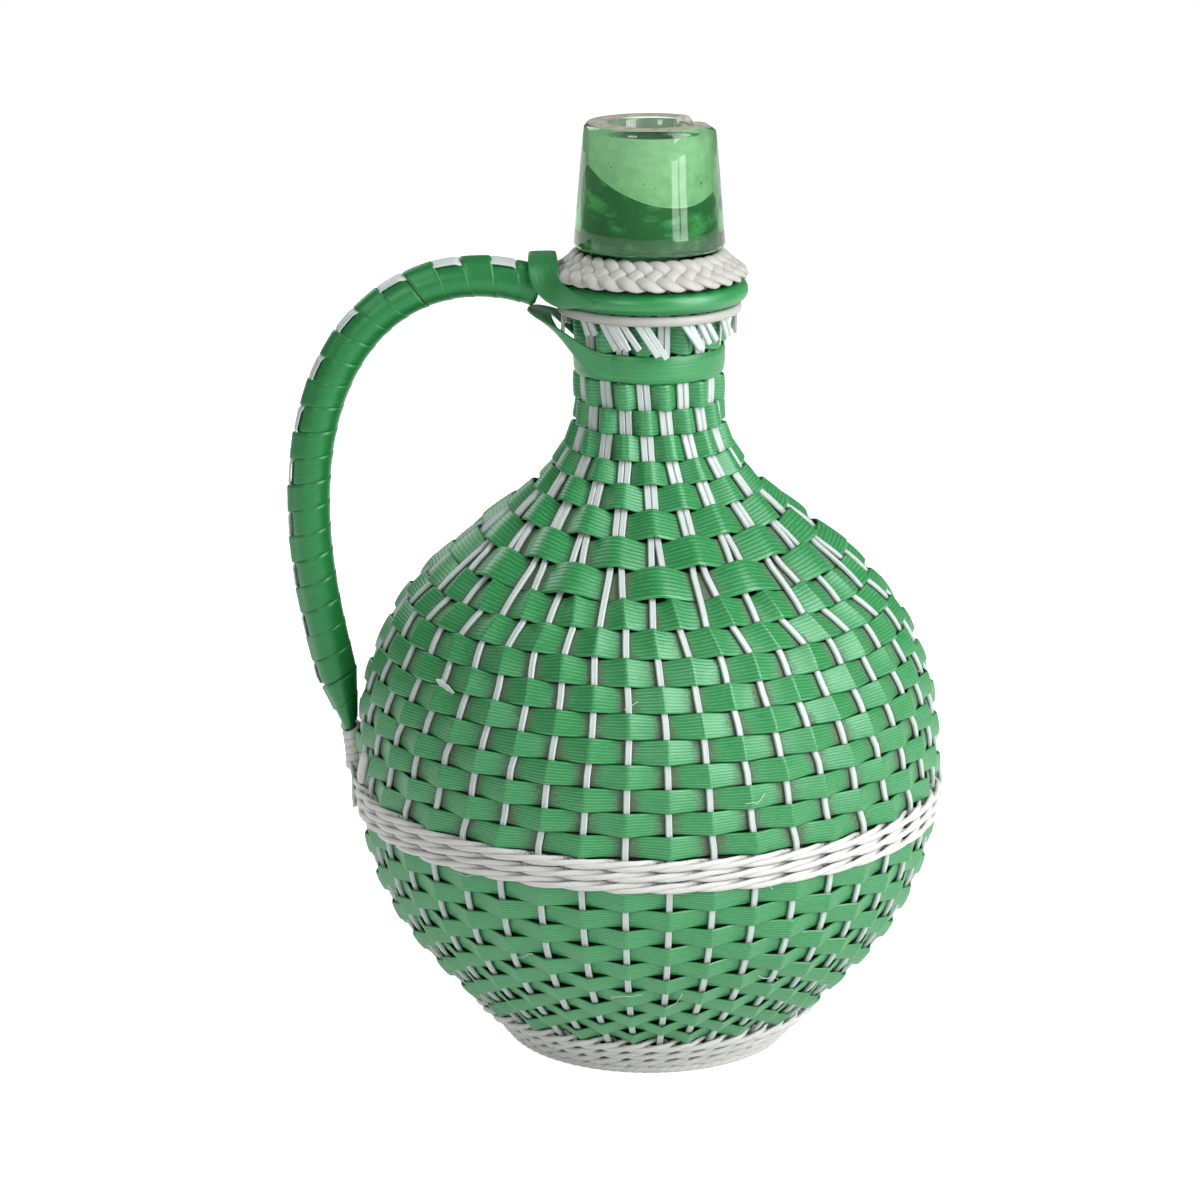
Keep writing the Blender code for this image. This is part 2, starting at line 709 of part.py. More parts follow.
def wrap_sections(path):
    """Cross-sections of the ribbon wound round the core, over and under the white strip."""
    usable = path.length - HANDLE_TONGUE_LENGTH - WRAP_START
    turns = floor(usable / WRAP_PITCH)
    flat = acos(max(1 - ((STRIP_WIDTH / 2 + GAP) / HANDLE_CORE_RADIUS) ** 2 / 2, 0.0))
    around = 7
    half = (WRAP_PITCH - WRAP_GAP) / 2
    spacing = (2 * pi - 2 * flat) / around
    corner = 1 / cos(spacing / 2)
    sections = []
    for turn in range(turns):
        over = turn % 2 == 0
        for step in range(around + 1):
            angle = flat + step * spacing
            run = half + WRAP_START + (turn + angle / (2 * pi)) * WRAP_PITCH
            beside_strip = step in (0, around)
            passes_over = over if step == 0 else not over
            section = []
            for along, out in ((-half, 0.0), (half, 0.0), (half, WRAP_THICKNESS), (-half, WRAP_THICKNESS)):
                thick, wide = path.core(run + along)
                if beside_strip:
                    rise = thick + GAP + out
                    if passes_over:
                        rise += WRAP_THICKNESS + STRIP_THICKNESS + 2 * GAP
                    side = (STRIP_WIDTH / 2 + GAP) * (1 if step == 0 else -1)
                    section.append(path.point(run + along, rise, side))
                else:
                    rise = ((thick + GAP) * corner + out) * cos(angle)
                    side = ((wide + GAP) * corner + out) * sin(angle)
                    section.append(path.point(run + along, rise, side))
            sections.append(section)
    return sections


def least_gap(sections, per_turn):
    """The least distance between a turn's leading edge and the next turn's trailing edge."""
    gaps = []
    for before, after in zip(sections, sections[per_turn:]):
        gaps.append((before[1] - after[0]).length)
    return min(gaps)


def make_handle_wrap(path, look):
    """The green ribbon wound round the handle in one unbroken helix."""
    sections = wrap_sections(path)
    print("handle_wrap least gap to itself, mm:", round(least_gap(sections, 8) * 1000, 3))
    return loft("handle_wrap", sections, look)


def make_handle_strip(path, look):
    """The white strip along the handle's outer side, over and under the wrapping."""
    end = path.length - HANDLE_TONGUE_LENGTH - 2 * WRAP_PITCH
    sections = []
    for station in range(HANDLE_STATIONS + 1):
        run = WRAP_PITCH / 2 + (end - WRAP_PITCH / 2) * station / HANDLE_STATIONS
        low = path.core(run)[0] + WRAP_THICKNESS + 2 * GAP
        high = low + STRIP_THICKNESS
        half = STRIP_WIDTH / 2
        sections.append([
            path.point(run, low, -half),
            path.point(run, low, half),
            path.point(run, high, half),
            path.point(run, high, -half),
        ])
    return loft("handle_strip", sections, look)


def make_handle_tie(look):
    """The ribbon slung under the handle's end, from one side of the neck band to the other."""
    lines = [(-turn, *rest) for turn, *rest in reversed(TIE_STATIONS)] + list(TIE_STATIONS[1:])
    sections = []
    for turn, radius, above_neck, rise in lines:
        azimuth = pi + radians(turn)
        height = NECK_HEIGHT + above_neck
        wide = (cos(radians(rise)) * TIE_WIDTH / 2, sin(radians(rise)) * TIE_WIDTH / 2)
        thick = (-sin(radians(rise)) * TIE_THICKNESS / 2, cos(radians(rise)) * TIE_THICKNESS / 2)
        section = []
        for across, through in ((-1, -1), (1, -1), (1, 1), (-1, 1)):
            out = radius + across * wide[0] + through * thick[0]
            section.append(polar(out, azimuth, height + across * wide[1] + through * thick[1]))
        sections.append(section)
    return loft("handle_tie", sections, look)


def make_lashing(stakes, path, look):
    """White strands that hold the handle's foot to the belly band."""
    outline = stakes.outline
    near = stakes.outer + GAP + inner_clearance(BELLY_RADIUS, BAND_SIDES)
    band_out = outline.place(outline.band_top, near + BAND_THICKNESS).x + GAP
    foot_out = path.foot_seat + HANDLE_TONGUE_THICKNESS + GAP
    line = []
    for share in (0.7, 0.35, 0.1):
        run = path.length - HANDLE_TONGUE_LENGTH * share
        edge = path.point(run, path.core(run)[0] + GAP, 0.0)
        line.append((-edge.x, edge.z))
    line.append((max(band_out, foot_out), outline.band_top))
    line.append((band_out, (outline.band_top + outline.band_bottom) / 2))
    line.append((band_out, outline.band_bottom))
    strand = LASHING_WIDTH / LASHING_STRANDS
    sections = []
    for radius, height in line:
        section = [(radius, -LASHING_WIDTH / 2), (radius, LASHING_WIDTH / 2)]
        for index in range(LASHING_STRANDS):
            edge = LASHING_WIDTH / 2 - index * strand
            section.append((radius + LASHING_THICKNESS / 2, edge - 0.05 * strand))
            section.append((radius + LASHING_THICKNESS, edge - strand / 2))
        section.append((radius + LASHING_THICKNESS / 2, -LASHING_WIDTH / 2 + 0.05 * strand))
        sections.append([Vector((-out, aside, height)) for out, aside in section])
    return loft("handle_lashing", sections, look)


def main():
    clear_scene()
    glass = material("green_glass", GREEN_GLASS, 0.05)
    ribbon = material("green_ribbon", GREEN_RIBBON, 0.35)
    strand = material("white_strand", WHITE_STRAND, 0.5)
    outline = Outline()
    stakes = Stakes(outline)
    rows = list(zip(outline.upper_levels, outline.upper_levels[1:]))
    lower_rows = list(zip(outline.lower_levels, outline.lower_levels[1:]))
    neck_row = [(outline.neck_row_top, outline.neck_band_top + ROW_GAP)]
    deepest = max(clearances(stakes, top, bottom)[1] for top, bottom in rows + lower_rows + neck_row)
    stakes.seat(2 * GAP + RIBBON_THICKNESS + deepest)

    make_bottle(outline, glass)
    make_base_disc(strand)
    make_base_band(stakes, strand)
    make_stakes(stakes, strand)
    loft("weft_lower", ribbon_sections(stakes, lower_rows, True), ribbon)
    make_belly_band(stakes, strand)
    loft("weft_upper", ribbon_sections(stakes, rows, True), ribbon)
    make_neck_band(stakes, ribbon)
    loft("neck_weft", ribbon_sections(stakes, neck_row, False), ribbon)
    make_white_ring(outline, strand, len(stakes.groups))
    make_green_ring(outline, ribbon)
    make_braid(stakes, strand)

    path = HandlePath(stakes)
    make_handle_core(path, ribbon)
    make_handle_wrap(path, ribbon)
    make_handle_strip(path, strand)
    make_lashing(stakes, path, strand)
    make_handle_tie(ribbon)


main()
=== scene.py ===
"""Dressed model of a demijohn: a green glass bottle in a woven jacket with one wrapped handle.

The packed frame gives the place and size of every part. The pieces below stand for its nodes,
with the ribs, twists, grain, dust and wear that the plain solids leave out, and with painted shade and
highlights on the ribbon's ribs, in the collar and under the jacket.
"""

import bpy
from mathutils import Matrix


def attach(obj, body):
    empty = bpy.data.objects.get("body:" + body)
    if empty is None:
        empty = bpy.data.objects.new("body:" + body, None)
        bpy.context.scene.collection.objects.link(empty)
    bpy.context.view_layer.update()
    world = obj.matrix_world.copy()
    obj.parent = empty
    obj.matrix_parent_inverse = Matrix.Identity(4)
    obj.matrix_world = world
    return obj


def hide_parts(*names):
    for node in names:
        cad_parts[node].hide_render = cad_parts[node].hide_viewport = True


bl_info = {
    "name": "Woven demijohn",
    "version": (1, 0, 0),
    "blender": (4, 5, 0),
    "location": "3D View > Sidebar > Demijohn",
    "description": "Builds the glass, the woven jacket, the neck rings and the handle of a demijohn",
    "category": "Object",
}

from math import cos, pi, radians, sin

import bpy
import numpy as np
from bpy.props import FloatProperty, FloatVectorProperty, IntProperty, PointerProperty
from bpy.types import Operator, Panel, PropertyGroup

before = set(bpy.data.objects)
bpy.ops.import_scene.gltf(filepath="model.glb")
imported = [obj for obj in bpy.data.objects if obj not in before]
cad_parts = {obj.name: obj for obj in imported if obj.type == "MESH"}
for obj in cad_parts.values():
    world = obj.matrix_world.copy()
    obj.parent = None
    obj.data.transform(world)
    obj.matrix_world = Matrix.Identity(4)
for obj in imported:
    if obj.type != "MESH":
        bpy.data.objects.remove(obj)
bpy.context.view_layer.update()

SEED = 20
GAP = 0.0003
ROW_GAP = 0.0004
BACK = radians(90)
LEFT = radians(180)
OUTLINE_STEPS = 1600

# The glass outline's remaining handles
FOOT_ANGLE = radians(46)
FOOT_REACH = 0.0434
BELLY_REACH_DOWN = 0.0551
BELLY_REACH_UP = 0.0952
NECK_REACH_DOWN = 0.0600
OUTLINE_PAST_RING = 0.0120
BASE_DISC_THICKNESS = 0.0060
PUNT_RISE = 0.0080
PUNT_RADIUS = 0.0400
BASE_WALL = 0.0060

# The collar: its rounds, the chip in its rim, the slanting edge between the painted light and the painted
# shade seen in it, and the films
RIM_ROUND = 0.0025
RIM_UNDER_FILM = 0.0002
LIP_ROUND = 0.0012
BORE_FOOT = ((0.0008, 0.0030), (0.0022, -0.0010), (0.0045, -0.0045))
CHIP_FADE = 0.0035
CHIP_DEEPEST = 0.0040
EDGE_MEAN = 0.02085
EDGE_SLANT = 0.00866
EDGE_TURN = radians(53.5)
EDGE_HALF = 0.0003
FILM_RADIUS = 0.0170
FILM_THICKNESS = 0.0002
FILM_UNDER_RIM = 0.0042
FILM_RISE_BEHIND = 0.0026
FILM_ABOVE_FOOT = 0.0012
FLANGE_INSET = 0.0016
GLASS_IOR = 1.5
GLASS_DENSITY = 62.0

# The jacket's rows
WEAVE_TOP_ABOVE_NECK = 0.0081
UPPER_ROWS = 18
NECK_ROWS = 3
NECK_ROW_PITCH = 0.0100
LOWER_ROWS = 11
UPPER_CUT_ROW = 12
LOWER_CUT_ROW = 6

# The upright strands: where they lean, pair up, and lie closer together in front
STAKE_INNER = 0.002030
STAKE_LEAN = radians(-13.5)
LEAN_START_ROW = 13
SPLIT_ROW = 6
SPLIT_ROWS = 3
PAIRED_SPREAD = 0.7
STAKE_GATHER = (
    (0.2234, 0.00), (0.1950, 0.20), (0.1807, 0.20), (0.1723, 0.14), (0.1600, 0.15),
    (0.1514, 0.13), (0.1388, 0.10), (0.1343, 0.08), (0.1168, 0.05), (0.1065, 0.00),
)
STAKE_STEP = 0.0021
SWAY_UNDER = -0.00015
SWAY_OVER = 0.00035

# The woven ribbon: its ribs, the shape of its humps, and how evenly it lies
RIBS = 8
RIB_MIDDLE = 3 * RIBS // 2
CREST_HALF = 0.00010
FLANK_PLACE = 0.42
FLANK_DROP = 0.66
END_FLANK = 0.009
WIDE_CROWN = 0.0009
WIDE_REACH = 0.0018
RIBBON_CLEARANCE = 0.00015
RIBBON_SAMPLE = 0.0002
RIBBON_PAST_END = 0.004
HUMP_SAMPLES = (0.0, 0.0004, 0.0010, 0.0026)
FULL_SPACING = 0.0075
JITTER_DEPTH = 0.00010
JITTER_RUN = 0.00007
JITTER_TURN = 0.00015
DUST_LIFT = 0.24

# The torn flake: azimuth, height and turn of its middle; each fibre: azimuth, height, length, lean
FLAKE = (radians(-135.0), 0.1560)
FLAKE_TURN = 0.0520
FLAKE_DROP = 0.0014
FIBRES = (
    (-128.0, 0.0905, 0.014, 78.0), (-118.0, 0.0620, 0.010, 60.0), (-98.0, 0.0495, 0.012, 80.0),
    (-84.0, 0.0440, 0.009, 20.0), (-66.0, 0.0915, 0.012, -40.0), (-72.0, 0.1230, 0.008, 70.0),
    (-95.0, 0.1560, 0.007, 55.0), (-60.0, 0.0520, 0.010, -70.0),
)

# The twined bands
BAND_DROP = 0.0175
BAND_STRAND = 0.0031
BAND_STRANDS = 4
BELLY_WALES = 3
BELLY_STRAND_HALF = 0.00108
BELLY_PROUD = 0.0017
FOOT_BAND_HEIGHT = 0.0207
FOOT_WALES = 3
FOOT_WALE_HALVES = 6.2
FOOT_STRAND_HALF = 0.00138
FOOT_PROUD = 0.0014
WOBBLE = 0.00022

# The neck
NECK_BAND_HEIGHT = 0.0105
NECK_ROW_HEIGHT = 0.0120
NECK_BAND_RIBS = 9
WHITE_RING_DROP = 0.0004
CUT_END_START = -0.0020
CUT_END_APART = 0.0029
# Where the stakes' cut ends poke out: degrees from the front, length, slant in degrees
CUT_ENDS = (
    (-46.0, 0.0065, 30.0), (-30.0, 0.0115, 33.0), (-20.5, 0.0120, 31.0), (-5.5, 0.0145, 31.0),
    (25.0, 0.0115, 34.0), (37.5, 0.0095, 33.0), (58.0, 0.0080, 26.0), (-81.0, 0.0105, -14.0),
    (92.0, 0.0110, 30.0), (112.0, 0.0125, 28.0), (131.0, 0.0090, 33.0), (149.0, 0.0120, 30.0),
    (168.0, 0.0100, 32.0), (187.0, 0.0125, 29.0), (206.0, 0.0095, 31.0), (226.0, 0.0110, 33.0),
    (244.0, 0.0085, 30.0),
)

# The plait: four strands that lie over one another in turn
PLAIT_STRANDS = 4
PLAIT_WAVES = 7
PLAIT_TILT = radians(40)
PLAIT_SWING = 0.0050
PLAIT_LIFT = 0.0013
PLAIT_STRAND_HALF = 0.0011
PLAIT_LEVELS = (0.0, 1.0, -1.0, 1.0, 0.0, -1.0, 1.0, -1.0, 0.0)

# The handle
HANDLE_TOP_REACH = 0.0420
HANDLE_TOP_RISE = 0.0150
HANDLE_SHOULDER_REACH = 0.0740
HANDLE_LOWER_REACH = 0.0420
HANDLE_FOOT_REACH = 0.0200
HANDLE_FOOT_FLARE = -0.0010
HANDLE_FOOT_SEAT = 0.11135
HANDLE_TAPER_LENGTH = 0.0380
HANDLE_TONGUE_LENGTH = 0.0150
HANDLE_TONGUE_THICKNESS = 0.0030
HANDLE_TONGUE_WIDTH = 0.0090
CORE_CLEARANCE = 0.0001
WRAP_HALF = 0.53
WRAP_START = 0.0002
WRAP_END = 0.0015
WRAP_LIFT = 0.0014
WRAP_LAP = 0.00028
STRIP_LIFT = 0.00125
STRIP_THICKNESS = 0.0008
STRIP_SECTION = (
    (-0.94, 0.0), (0.94, 0.0), (1.0, 0.5), (0.8, 0.95), (0.42, 1.05), (0.2, 0.96), (0.0, 1.06),
    (-0.2, 0.96), (-0.42, 1.05), (-0.8, 0.95), (-1.0, 0.5),
)

# The ribbon slung under the handle's end: turn from the -X side, radius, height, rise in degrees
TIE_STATIONS = (
    (0.0, 0.0415, 0.2838, 8.0), (13.0, 0.0402, 0.2820, 25.0), (26.0, 0.0368, 0.2775, 55.0),
    (39.0, 0.0324, 0.2712, 78.0), (50.0, 0.0296, 0.2678, 90.0), (72.0, 0.0262, 0.2668, 90.0),
)
TIE_WIDTH = 0.0090
TIE_THICKNESS = 0.0012
SLIP_GROOVE = 0.00010
SLIP_INNER = -0.0005

# The green ring's broad end over the handle's root: centre, direction across it, width
BLADE_STATIONS = (
    (-0.0400, 0.0070, 0.3030, 1.0, 0.0, 0.00, 0.0090),
    (-0.0400, 0.0000, 0.3064, 1.0, 0.0, 0.00, 0.0100),
    (-0.0398, -0.0066, 0.3046, 1.0, 0.0, 0.25, 0.0110),
    (-0.0390, -0.0096, 0.2992, 0.9, -0.1, 0.50, 0.0125),
    (-0.0366, -0.0128, 0.2952, 0.6, -0.2, 0.85, 0.0120),
    (-0.0331, -0.0178, 0.2928, 0.1, -0.05, 1.0, 0.0100),
    (-0.0288, -0.0232, 0.2922, 0.0, 0.0, 1.0, 0.0070),
    (-0.0236, -0.0281, 0.2922, 0.0, 0.0, 1.0, 0.0040),
    (-0.0190, -0.0312, 0.2922, 0.0, 0.0, 1.0, 0.0012),
)
BLADE_INSIDE = (-0.034, 0.0, 0.295)

# The lashing at the handle's foot: its strands side by side, its coil and its cut end
LASHING_PLACES = (-0.0052, -0.0026, 0.0, 0.0026, 0.0052)
LASHING_FAN = (0.45, 0.55, 0.80, 2.0, 3.2)
LASHING_TURNS = 5
COIL_START = 0.0160
COIL_LENGTH = 0.0155
COIL_PROUD = 0.0013
STUB_TURN = (200.0, -3.5)
STUB_HEIGHT = (0.1215, -0.0130)
STUB_PROUD = 0.0022

# The stage, with the camera as fitted to the photograph
CAMERA_LENS = 118.07
CAMERA_SENSOR = 36.0
CAMERA_CLIP = (0.05, 30.0)
CAMERA_PLACE = (0.0, -1.4487, 0.5659)
CAMERA_PITCH = radians(15.23)
CAMERA_PAN = radians(0.728)
WORLD_STRENGTH = 0.30
FLOOR_HALF = 3
FLOOR_WHITE = 0.72
FLOOR_GLOW = 0.80
BODY_AIM = (0.0, 0.0, 0.17)
COLLAR_AIM = (0.0, 0.0, 0.33)
# Each lamp: name, place, what it faces, size, power
LAMPS = (
    ("key", (1.42, -0.86, 1.00), BODY_AIM, 1.1, 27.0),
    ("sheen", (0.95, -0.55, 1.70), BODY_AIM, 1.0, 14.0),
    ("fill", (-0.9, -1.5, 1.0), BODY_AIM, 0.5, 7.0),
    ("back", (-1.1, 1.4, 1.2), BODY_AIM, 1.0, 9.0),
    ("pane_1", (0.98, -1.12, 0.24), COLLAR_AIM, 0.30, 1.7),
    ("pane_2", (1.22, -0.86, 0.24), COLLAR_AIM, 0.30, 1.7),
)


def length(name, description, default):
    """A size that a user may change, in metres."""
    return FloatProperty(
        name=name, description=description, default=default, min=0.0, subtype="DISTANCE", unit="LENGTH"
    )


def colour(name, description, default):
    """A colour that a user may change."""
    return FloatVectorProperty(
        name=name, description=description, default=default, size=3, min=0.0, max=1.0, subtype="COLOR"
    )


class DEMIJOHN_PG_bottle(PropertyGroup):
    """Sizes of the blown glass bottle."""

    foot_radius: length("Foot radius", "Radius where the glass meets the woven disc", 0.0513)
    belly_radius: length("Belly radius", "Widest radius of the glass", 0.1075)
    belly_height: length("Belly height", "Height of the widest part", 0.1103)
    neck_radius: length("Neck radius", "Narrowest outer radius of the neck", 0.0227)
    neck_height: length("Neck height", "Height of the narrowest part", 0.2530)
    neck_top_radius: length("Neck top radius", "Neck radius under the collar", 0.0250)
    body_wall: length("Body wall", "Thickness of the blown wall", 0.0035)
    bore_radius: length("Bore radius", "Radius of the mouth's bore", 0.0145)
    bore_depth: length("Bore depth", "How far the bore goes down before it widens", 0.0270)
    collar_height: length("Collar height", "Height of the thick conical collar", 0.0466)
    collar_foot_radius: length("Collar foot radius", "Radius of the collar at its foot", 0.0285)
    rim_radius: length("Rim radius", "Radius of the collar at the rim", 0.0246)
    chip_depth: length("Chip depth", "How much the chipped part of the rim is lowered", 0.0024)


class DEMIJOHN_PG_jacket(PropertyGroup):
    """Sizes of the woven jacket."""

    stake_count: IntProperty(name="Stakes", description="Upright strands, an odd number", default=43)
    stake_width: length("Stake width", "Width of an upright strand", 0.0024)
    stake_thickness: length("Stake thickness", "Thickness of an upright strand", 0.0013)
    stake_spacing: length("Pair spacing", "Distance between the strands of a pair", 0.0025)
    ribbon_thickness: length("Ribbon thickness", "Thickness of the woven ribbon", 0.0008)
    ribbon_crown: length("Ribbon crown", "How much the ribbon bows between its edges", 0.00025)
    rib_depth: length("Rib depth", "Depth of the grooves between the ribbon's ribs", 0.00009)
    stand_off: length("Stand off", "Extra height of a hump over a strand", 0.0006)
    band_strand_thickness: length("Twined strand thickness", "Thickness of the twined strands", 0.0018)


class DEMIJOHN_PG_rings(PropertyGroup):
    """Sizes of the rings, band and plait round the neck."""

    neck_band_thickness: length("Neck band thickness", "Thickness of the broad neck ribbon", 0.0016)
    white_ring_size: length("White ring size", "Thickness of the white strand ring", 0.0032)
    white_ring_radius: length("White ring radius", "Radius of the white strand ring", 0.0330)
    green_ring_size: length("Green ring size", "Thickness of the green ring", 0.0082)
    green_ring_radius: length("Green ring radius", "Radius of the green ring", 0.0329)
    plait_height: length("Plait height", "Height of the plait under the collar", 0.0112)
    plait_radius: length("Plait radius", "Outer radius of the plait", 0.0380)
    plait_strand: length("Plait strand", "Width of one strand of the plait", 0.0048)


class DEMIJOHN_PG_handle(PropertyGroup):
    """Sizes of the wrapped handle."""

    reach: length("Reach", "Distance of the handle's centre line from the axis", 0.1282)
    mid_height: length("Middle height", "Height where the handle reaches furthest", 0.2070)
    core_radius: length("Core radius", "Radius of the stiff core", 0.0064)
    wrap_pitch: length("Winding pitch", "Distance between the turns of the winding", 0.0098)
    strip_width: length("Strip width", "Width of the white strip", 0.0052)


class DEMIJOHN_PG_colours(PropertyGroup):
    """Colours of the finishes."""

    ribbon: colour("Ribbon", "Green of the woven ribbon", (0.004, 0.200, 0.036))
    # Also the painted highlight on the crests of the ribbon's ribs.
    ribbon_pale_and_crest_highlight: colour("Ribbon, rubbed", "Green where the ribbon is rubbed", (0.190, 0.580, 0.320))
    ribbon_dark: colour("Ribbon, wound", "Green of the ribbon on the handle", (0.003, 0.135, 0.023))
    # Painted shade: the dark lines in the grooves between the ribbon's ribs.
    ribbon_groove_shade: colour("Ribbon groove", "Green between the ribbon's ribs", (0.006, 0.105, 0.030))
    sheen: colour("Ribbon sheen", "Tone of the woven ribbon's gloss", (0.740, 1.000, 0.880))
    sheen_wound: colour("Ribbon sheen, wound", "Tone of the wound ribbon's gloss", (0.460, 1.000, 0.620))
    strand: colour("Strand", "White of the upright strands", (0.550, 0.615, 0.605))
    strand_band: colour("Strand, bands", "White of the twined bands", (0.660, 0.665, 0.640))
    strand_neck: colour("Strand, neck", "White of the neck's ring and plait", (0.455, 0.455, 0.425))
    strand_aged: colour("Strand, aged", "Tone of the strands where they are grimy", (0.420, 0.390, 0.330))
    dust: colour("Dust", "Settled dust between the strands", (0.095, 0.105, 0.070))
    core: colour("Core", "Dusty core of the handle", (0.210, 0.190, 0.150))
    glass: colour("Glass", "What the glass lets through", (0.165, 0.668, 0.208))
    # Painted shade: the dark seen through the lower collar; also the colour of the dirt flecks in the pale
    # film.
    glass_shade_and_flecks: colour("Glass, deep", "Green of the deep glass in the collar", (0.024, 0.170, 0.066))
    # Painted light: lighter patches mottling the painted shade in the lower collar.
    glass_painted_light: colour("Glass, light", "Green of the light patches in the collar", (0.150, 0.500, 0.240))
    # Partly a dusty haze on the bore, partly painted light: the bright background seen through the upper
    # collar.
    glass_haze_and_painted_light: colour("Glass haze", "Film on the bore that shows through the collar", (0.800, 0.960, 0.800))
    # Painted highlight: the light line along the slanting edge.
    glass_highlight_line: colour("Glass line", "Light line between the haze and the deep glass", (0.850, 0.950, 0.850))
    rim_film: colour("Rim film", "Dusty film on the rim", (0.430, 0.415, 0.350))
    # Painted shade and dust: the dark sleeve on the glass under the jacket, and the darkening of the
    # collar's film at the back and on its inner face.
    shade: colour("Shade", "Grime on the glass under the jacket", (0.030, 0.042, 0.026))


# Geometry helpers


def bezier(start, start_handle, end_handle, end, steps=240):
    """Points of a Bezier stretch as an array of (radius, height)."""
    share = np.linspace(0.0, 1.0, steps + 1)[:, None]
    rest = 1.0 - share
    start, start_handle, end_handle, end = map(np.array, (start, start_handle, end_handle, end))
    first = rest**3 * start + 3 * rest**2 * share * start_handle
    return first + 3 * rest * share**2 * end_handle + share**3 * end


def runs_of(points):
    """Distance along a line of points."""
    steps = np.linalg.norm(np.diff(points, axis=0), axis=1)
    return np.concatenate([[0.0], np.cumsum(steps)])


def softened(values, width):
    """Values smoothed along their first axis by a bell curve that many samples wide."""
    reach = int(3 * width) + 1
    bell = np.exp(-0.5 * (np.arange(-reach, reach + 1) / width) ** 2)
    bell /= bell.sum()
    padded = np.concatenate([np.full(reach, values[0]), values, np.full(reach, values[-1])])
    return np.convolve(padded, bell, mode="valid")


def unit(vectors):
    """Vectors scaled to length one."""
    return vectors / np.linalg.norm(vectors, axis=-1, keepdims=True)


def turned_point(azimuth, radius, height):
    """Points at an azimuth, a radius and a height."""
    azimuth, radius, height = np.broadcast_arrays(azimuth, radius, height)
    return np.stack([radius * np.cos(azimuth), radius * np.sin(azimuth), height], axis=-1)


def signed_volume(points, quads):
    """Six times the volume inside a skin of quads."""
    first, second, third, fourth = (points[quads[:, corner]] for corner in range(4))
    one = np.einsum("ij,ij->i", first, np.cross(second, third)).sum()
    return one + np.einsum("ij,ij->i", first, np.cross(third, fourth)).sum()


def skin(name, grid, closed=False, along=None, across=None, dust=None, sharp=radians(50)):
    """A closed mesh from a grid of points: stations along it, section points round it."""
    stations, count, _ = grid.shape
    rows = stations if closed else stations - 1
    row, column = np.meshgrid(np.arange(rows), np.arange(count), indexing="ij")
    row_after, column_after = (row + 1) % stations, (column + 1) % count
    corners = [(row, column), (row, column_after), (row_after, column_after), (row_after, column)]
    quads = np.stack([a * count + b for a, b in corners], axis=-1).reshape(-1, 4)
    points = grid.reshape(-1, 3)
    flip = signed_volume(points, quads) < 0
    if flip:
        quads = quads[:, ::-1]
    loops = [quads.reshape(-1)]
    starts = [np.arange(len(quads)) * 4]
    if not closed:
        first_cap = np.arange(count)[::-1]
        last_cap = np.arange(count) + (stations - 1) * count
        if flip:
            first_cap, last_cap = first_cap[::-1], last_cap[::-1]
        loops += [first_cap, last_cap]
        starts.append(np.array([4 * len(quads), 4 * len(quads) + count]))
    loops = np.concatenate(loops)
    starts = np.concatenate(starts)
    mesh = bpy.data.meshes.new(name)
    mesh.vertices.add(len(points))
    mesh.vertices.foreach_set("co", points.astype(np.float32).ravel())
    mesh.loops.add(len(loops))
    mesh.loops.foreach_set("vertex_index", loops.astype(np.int32))
    mesh.polygons.add(len(starts))
    mesh.polygons.foreach_set("loop_start", starts.astype(np.int32))
    mesh.update(calc_edges=True)
    if along is not None:
        along = np.append(along, along[-1] + (along[-1] - along[-2])) if closed else along
        across = np.append(across, 1.0) if across is not None else np.linspace(0.0, 1.0, count + 1)
        u = np.stack([along[row], along[row], along[row + 1], along[row + 1]], axis=-1)
        v = np.stack([across[column], across[column + 1]] * 2, axis=-1)
        v[..., 2], v[..., 3] = across[column + 1], across[column]
        pairs = np.stack([u, v], axis=-1).reshape(-1, 4, 2)
        if flip:
            pairs = pairs[:, ::-1]
        flat = np.zeros((len(loops), 2), np.float32)
        flat[: 4 * len(quads)] = pairs.reshape(-1, 2)
        layer = mesh.uv_layers.new(name="strand")
        layer.data.foreach_set("uv", flat.ravel())
    if dust is not None:
        values = np.broadcast_to(dust, (stations, count)).astype(np.float32)
        mesh.attributes.new("dust", "FLOAT", "POINT").data.foreach_set("value", values.ravel())
    mesh.shade_smooth()
    mesh.set_sharp_from_angle(angle=sharp)
    made = bpy.data.objects.new(name, mesh)
    bpy.context.scene.collection.objects.link(made)
    return made


def sweep(path, outward, section, closed=False):
    """Grid of a section of (aside, out) points carried along a path."""
    if closed:
        ahead = np.roll(path, -1, axis=0) - np.roll(path, 1, axis=0)
    else:
        ahead = np.gradient(path, axis=0)
    ahead = unit(ahead)
    aside = unit(np.cross(outward, ahead))
    out = np.cross(ahead, aside)
    section = np.asarray(section)
    if section.ndim == 2:
        section = np.broadcast_to(section, (len(path), *section.shape))
    return (
        path[:, None, :]
        + aside[:, None, :] * section[..., :1]
        + out[:, None, :] * section[..., 1:]
    )


def oval(half_width, half_thickness, points=14, power=0.8, ridges=0.0, count=3):
    """A flattened round section, with a few ridges on its outer side."""
    angle = 2 * pi * np.arange(points) / points
    x = np.sign(np.cos(angle)) * np.abs(np.cos(angle)) ** power * half_width
    y = np.sign(np.sin(angle)) * np.abs(np.sin(angle)) ** power * half_thickness
    y = y + ridges * np.cos(count * pi * x / half_width) * (y > 0)
    return np.stack([x, y], axis=-1)


def finish_piece(piece, look, slot_name, *nodes):
    """Give a piece its look and its body, and hide the nodes that it stands for; the slot name is not used.
    """
    piece.data.materials.clear()
    piece.data.materials.append(look)
    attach(piece, "root")
    if nodes:
        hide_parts(*nodes)
    return piece


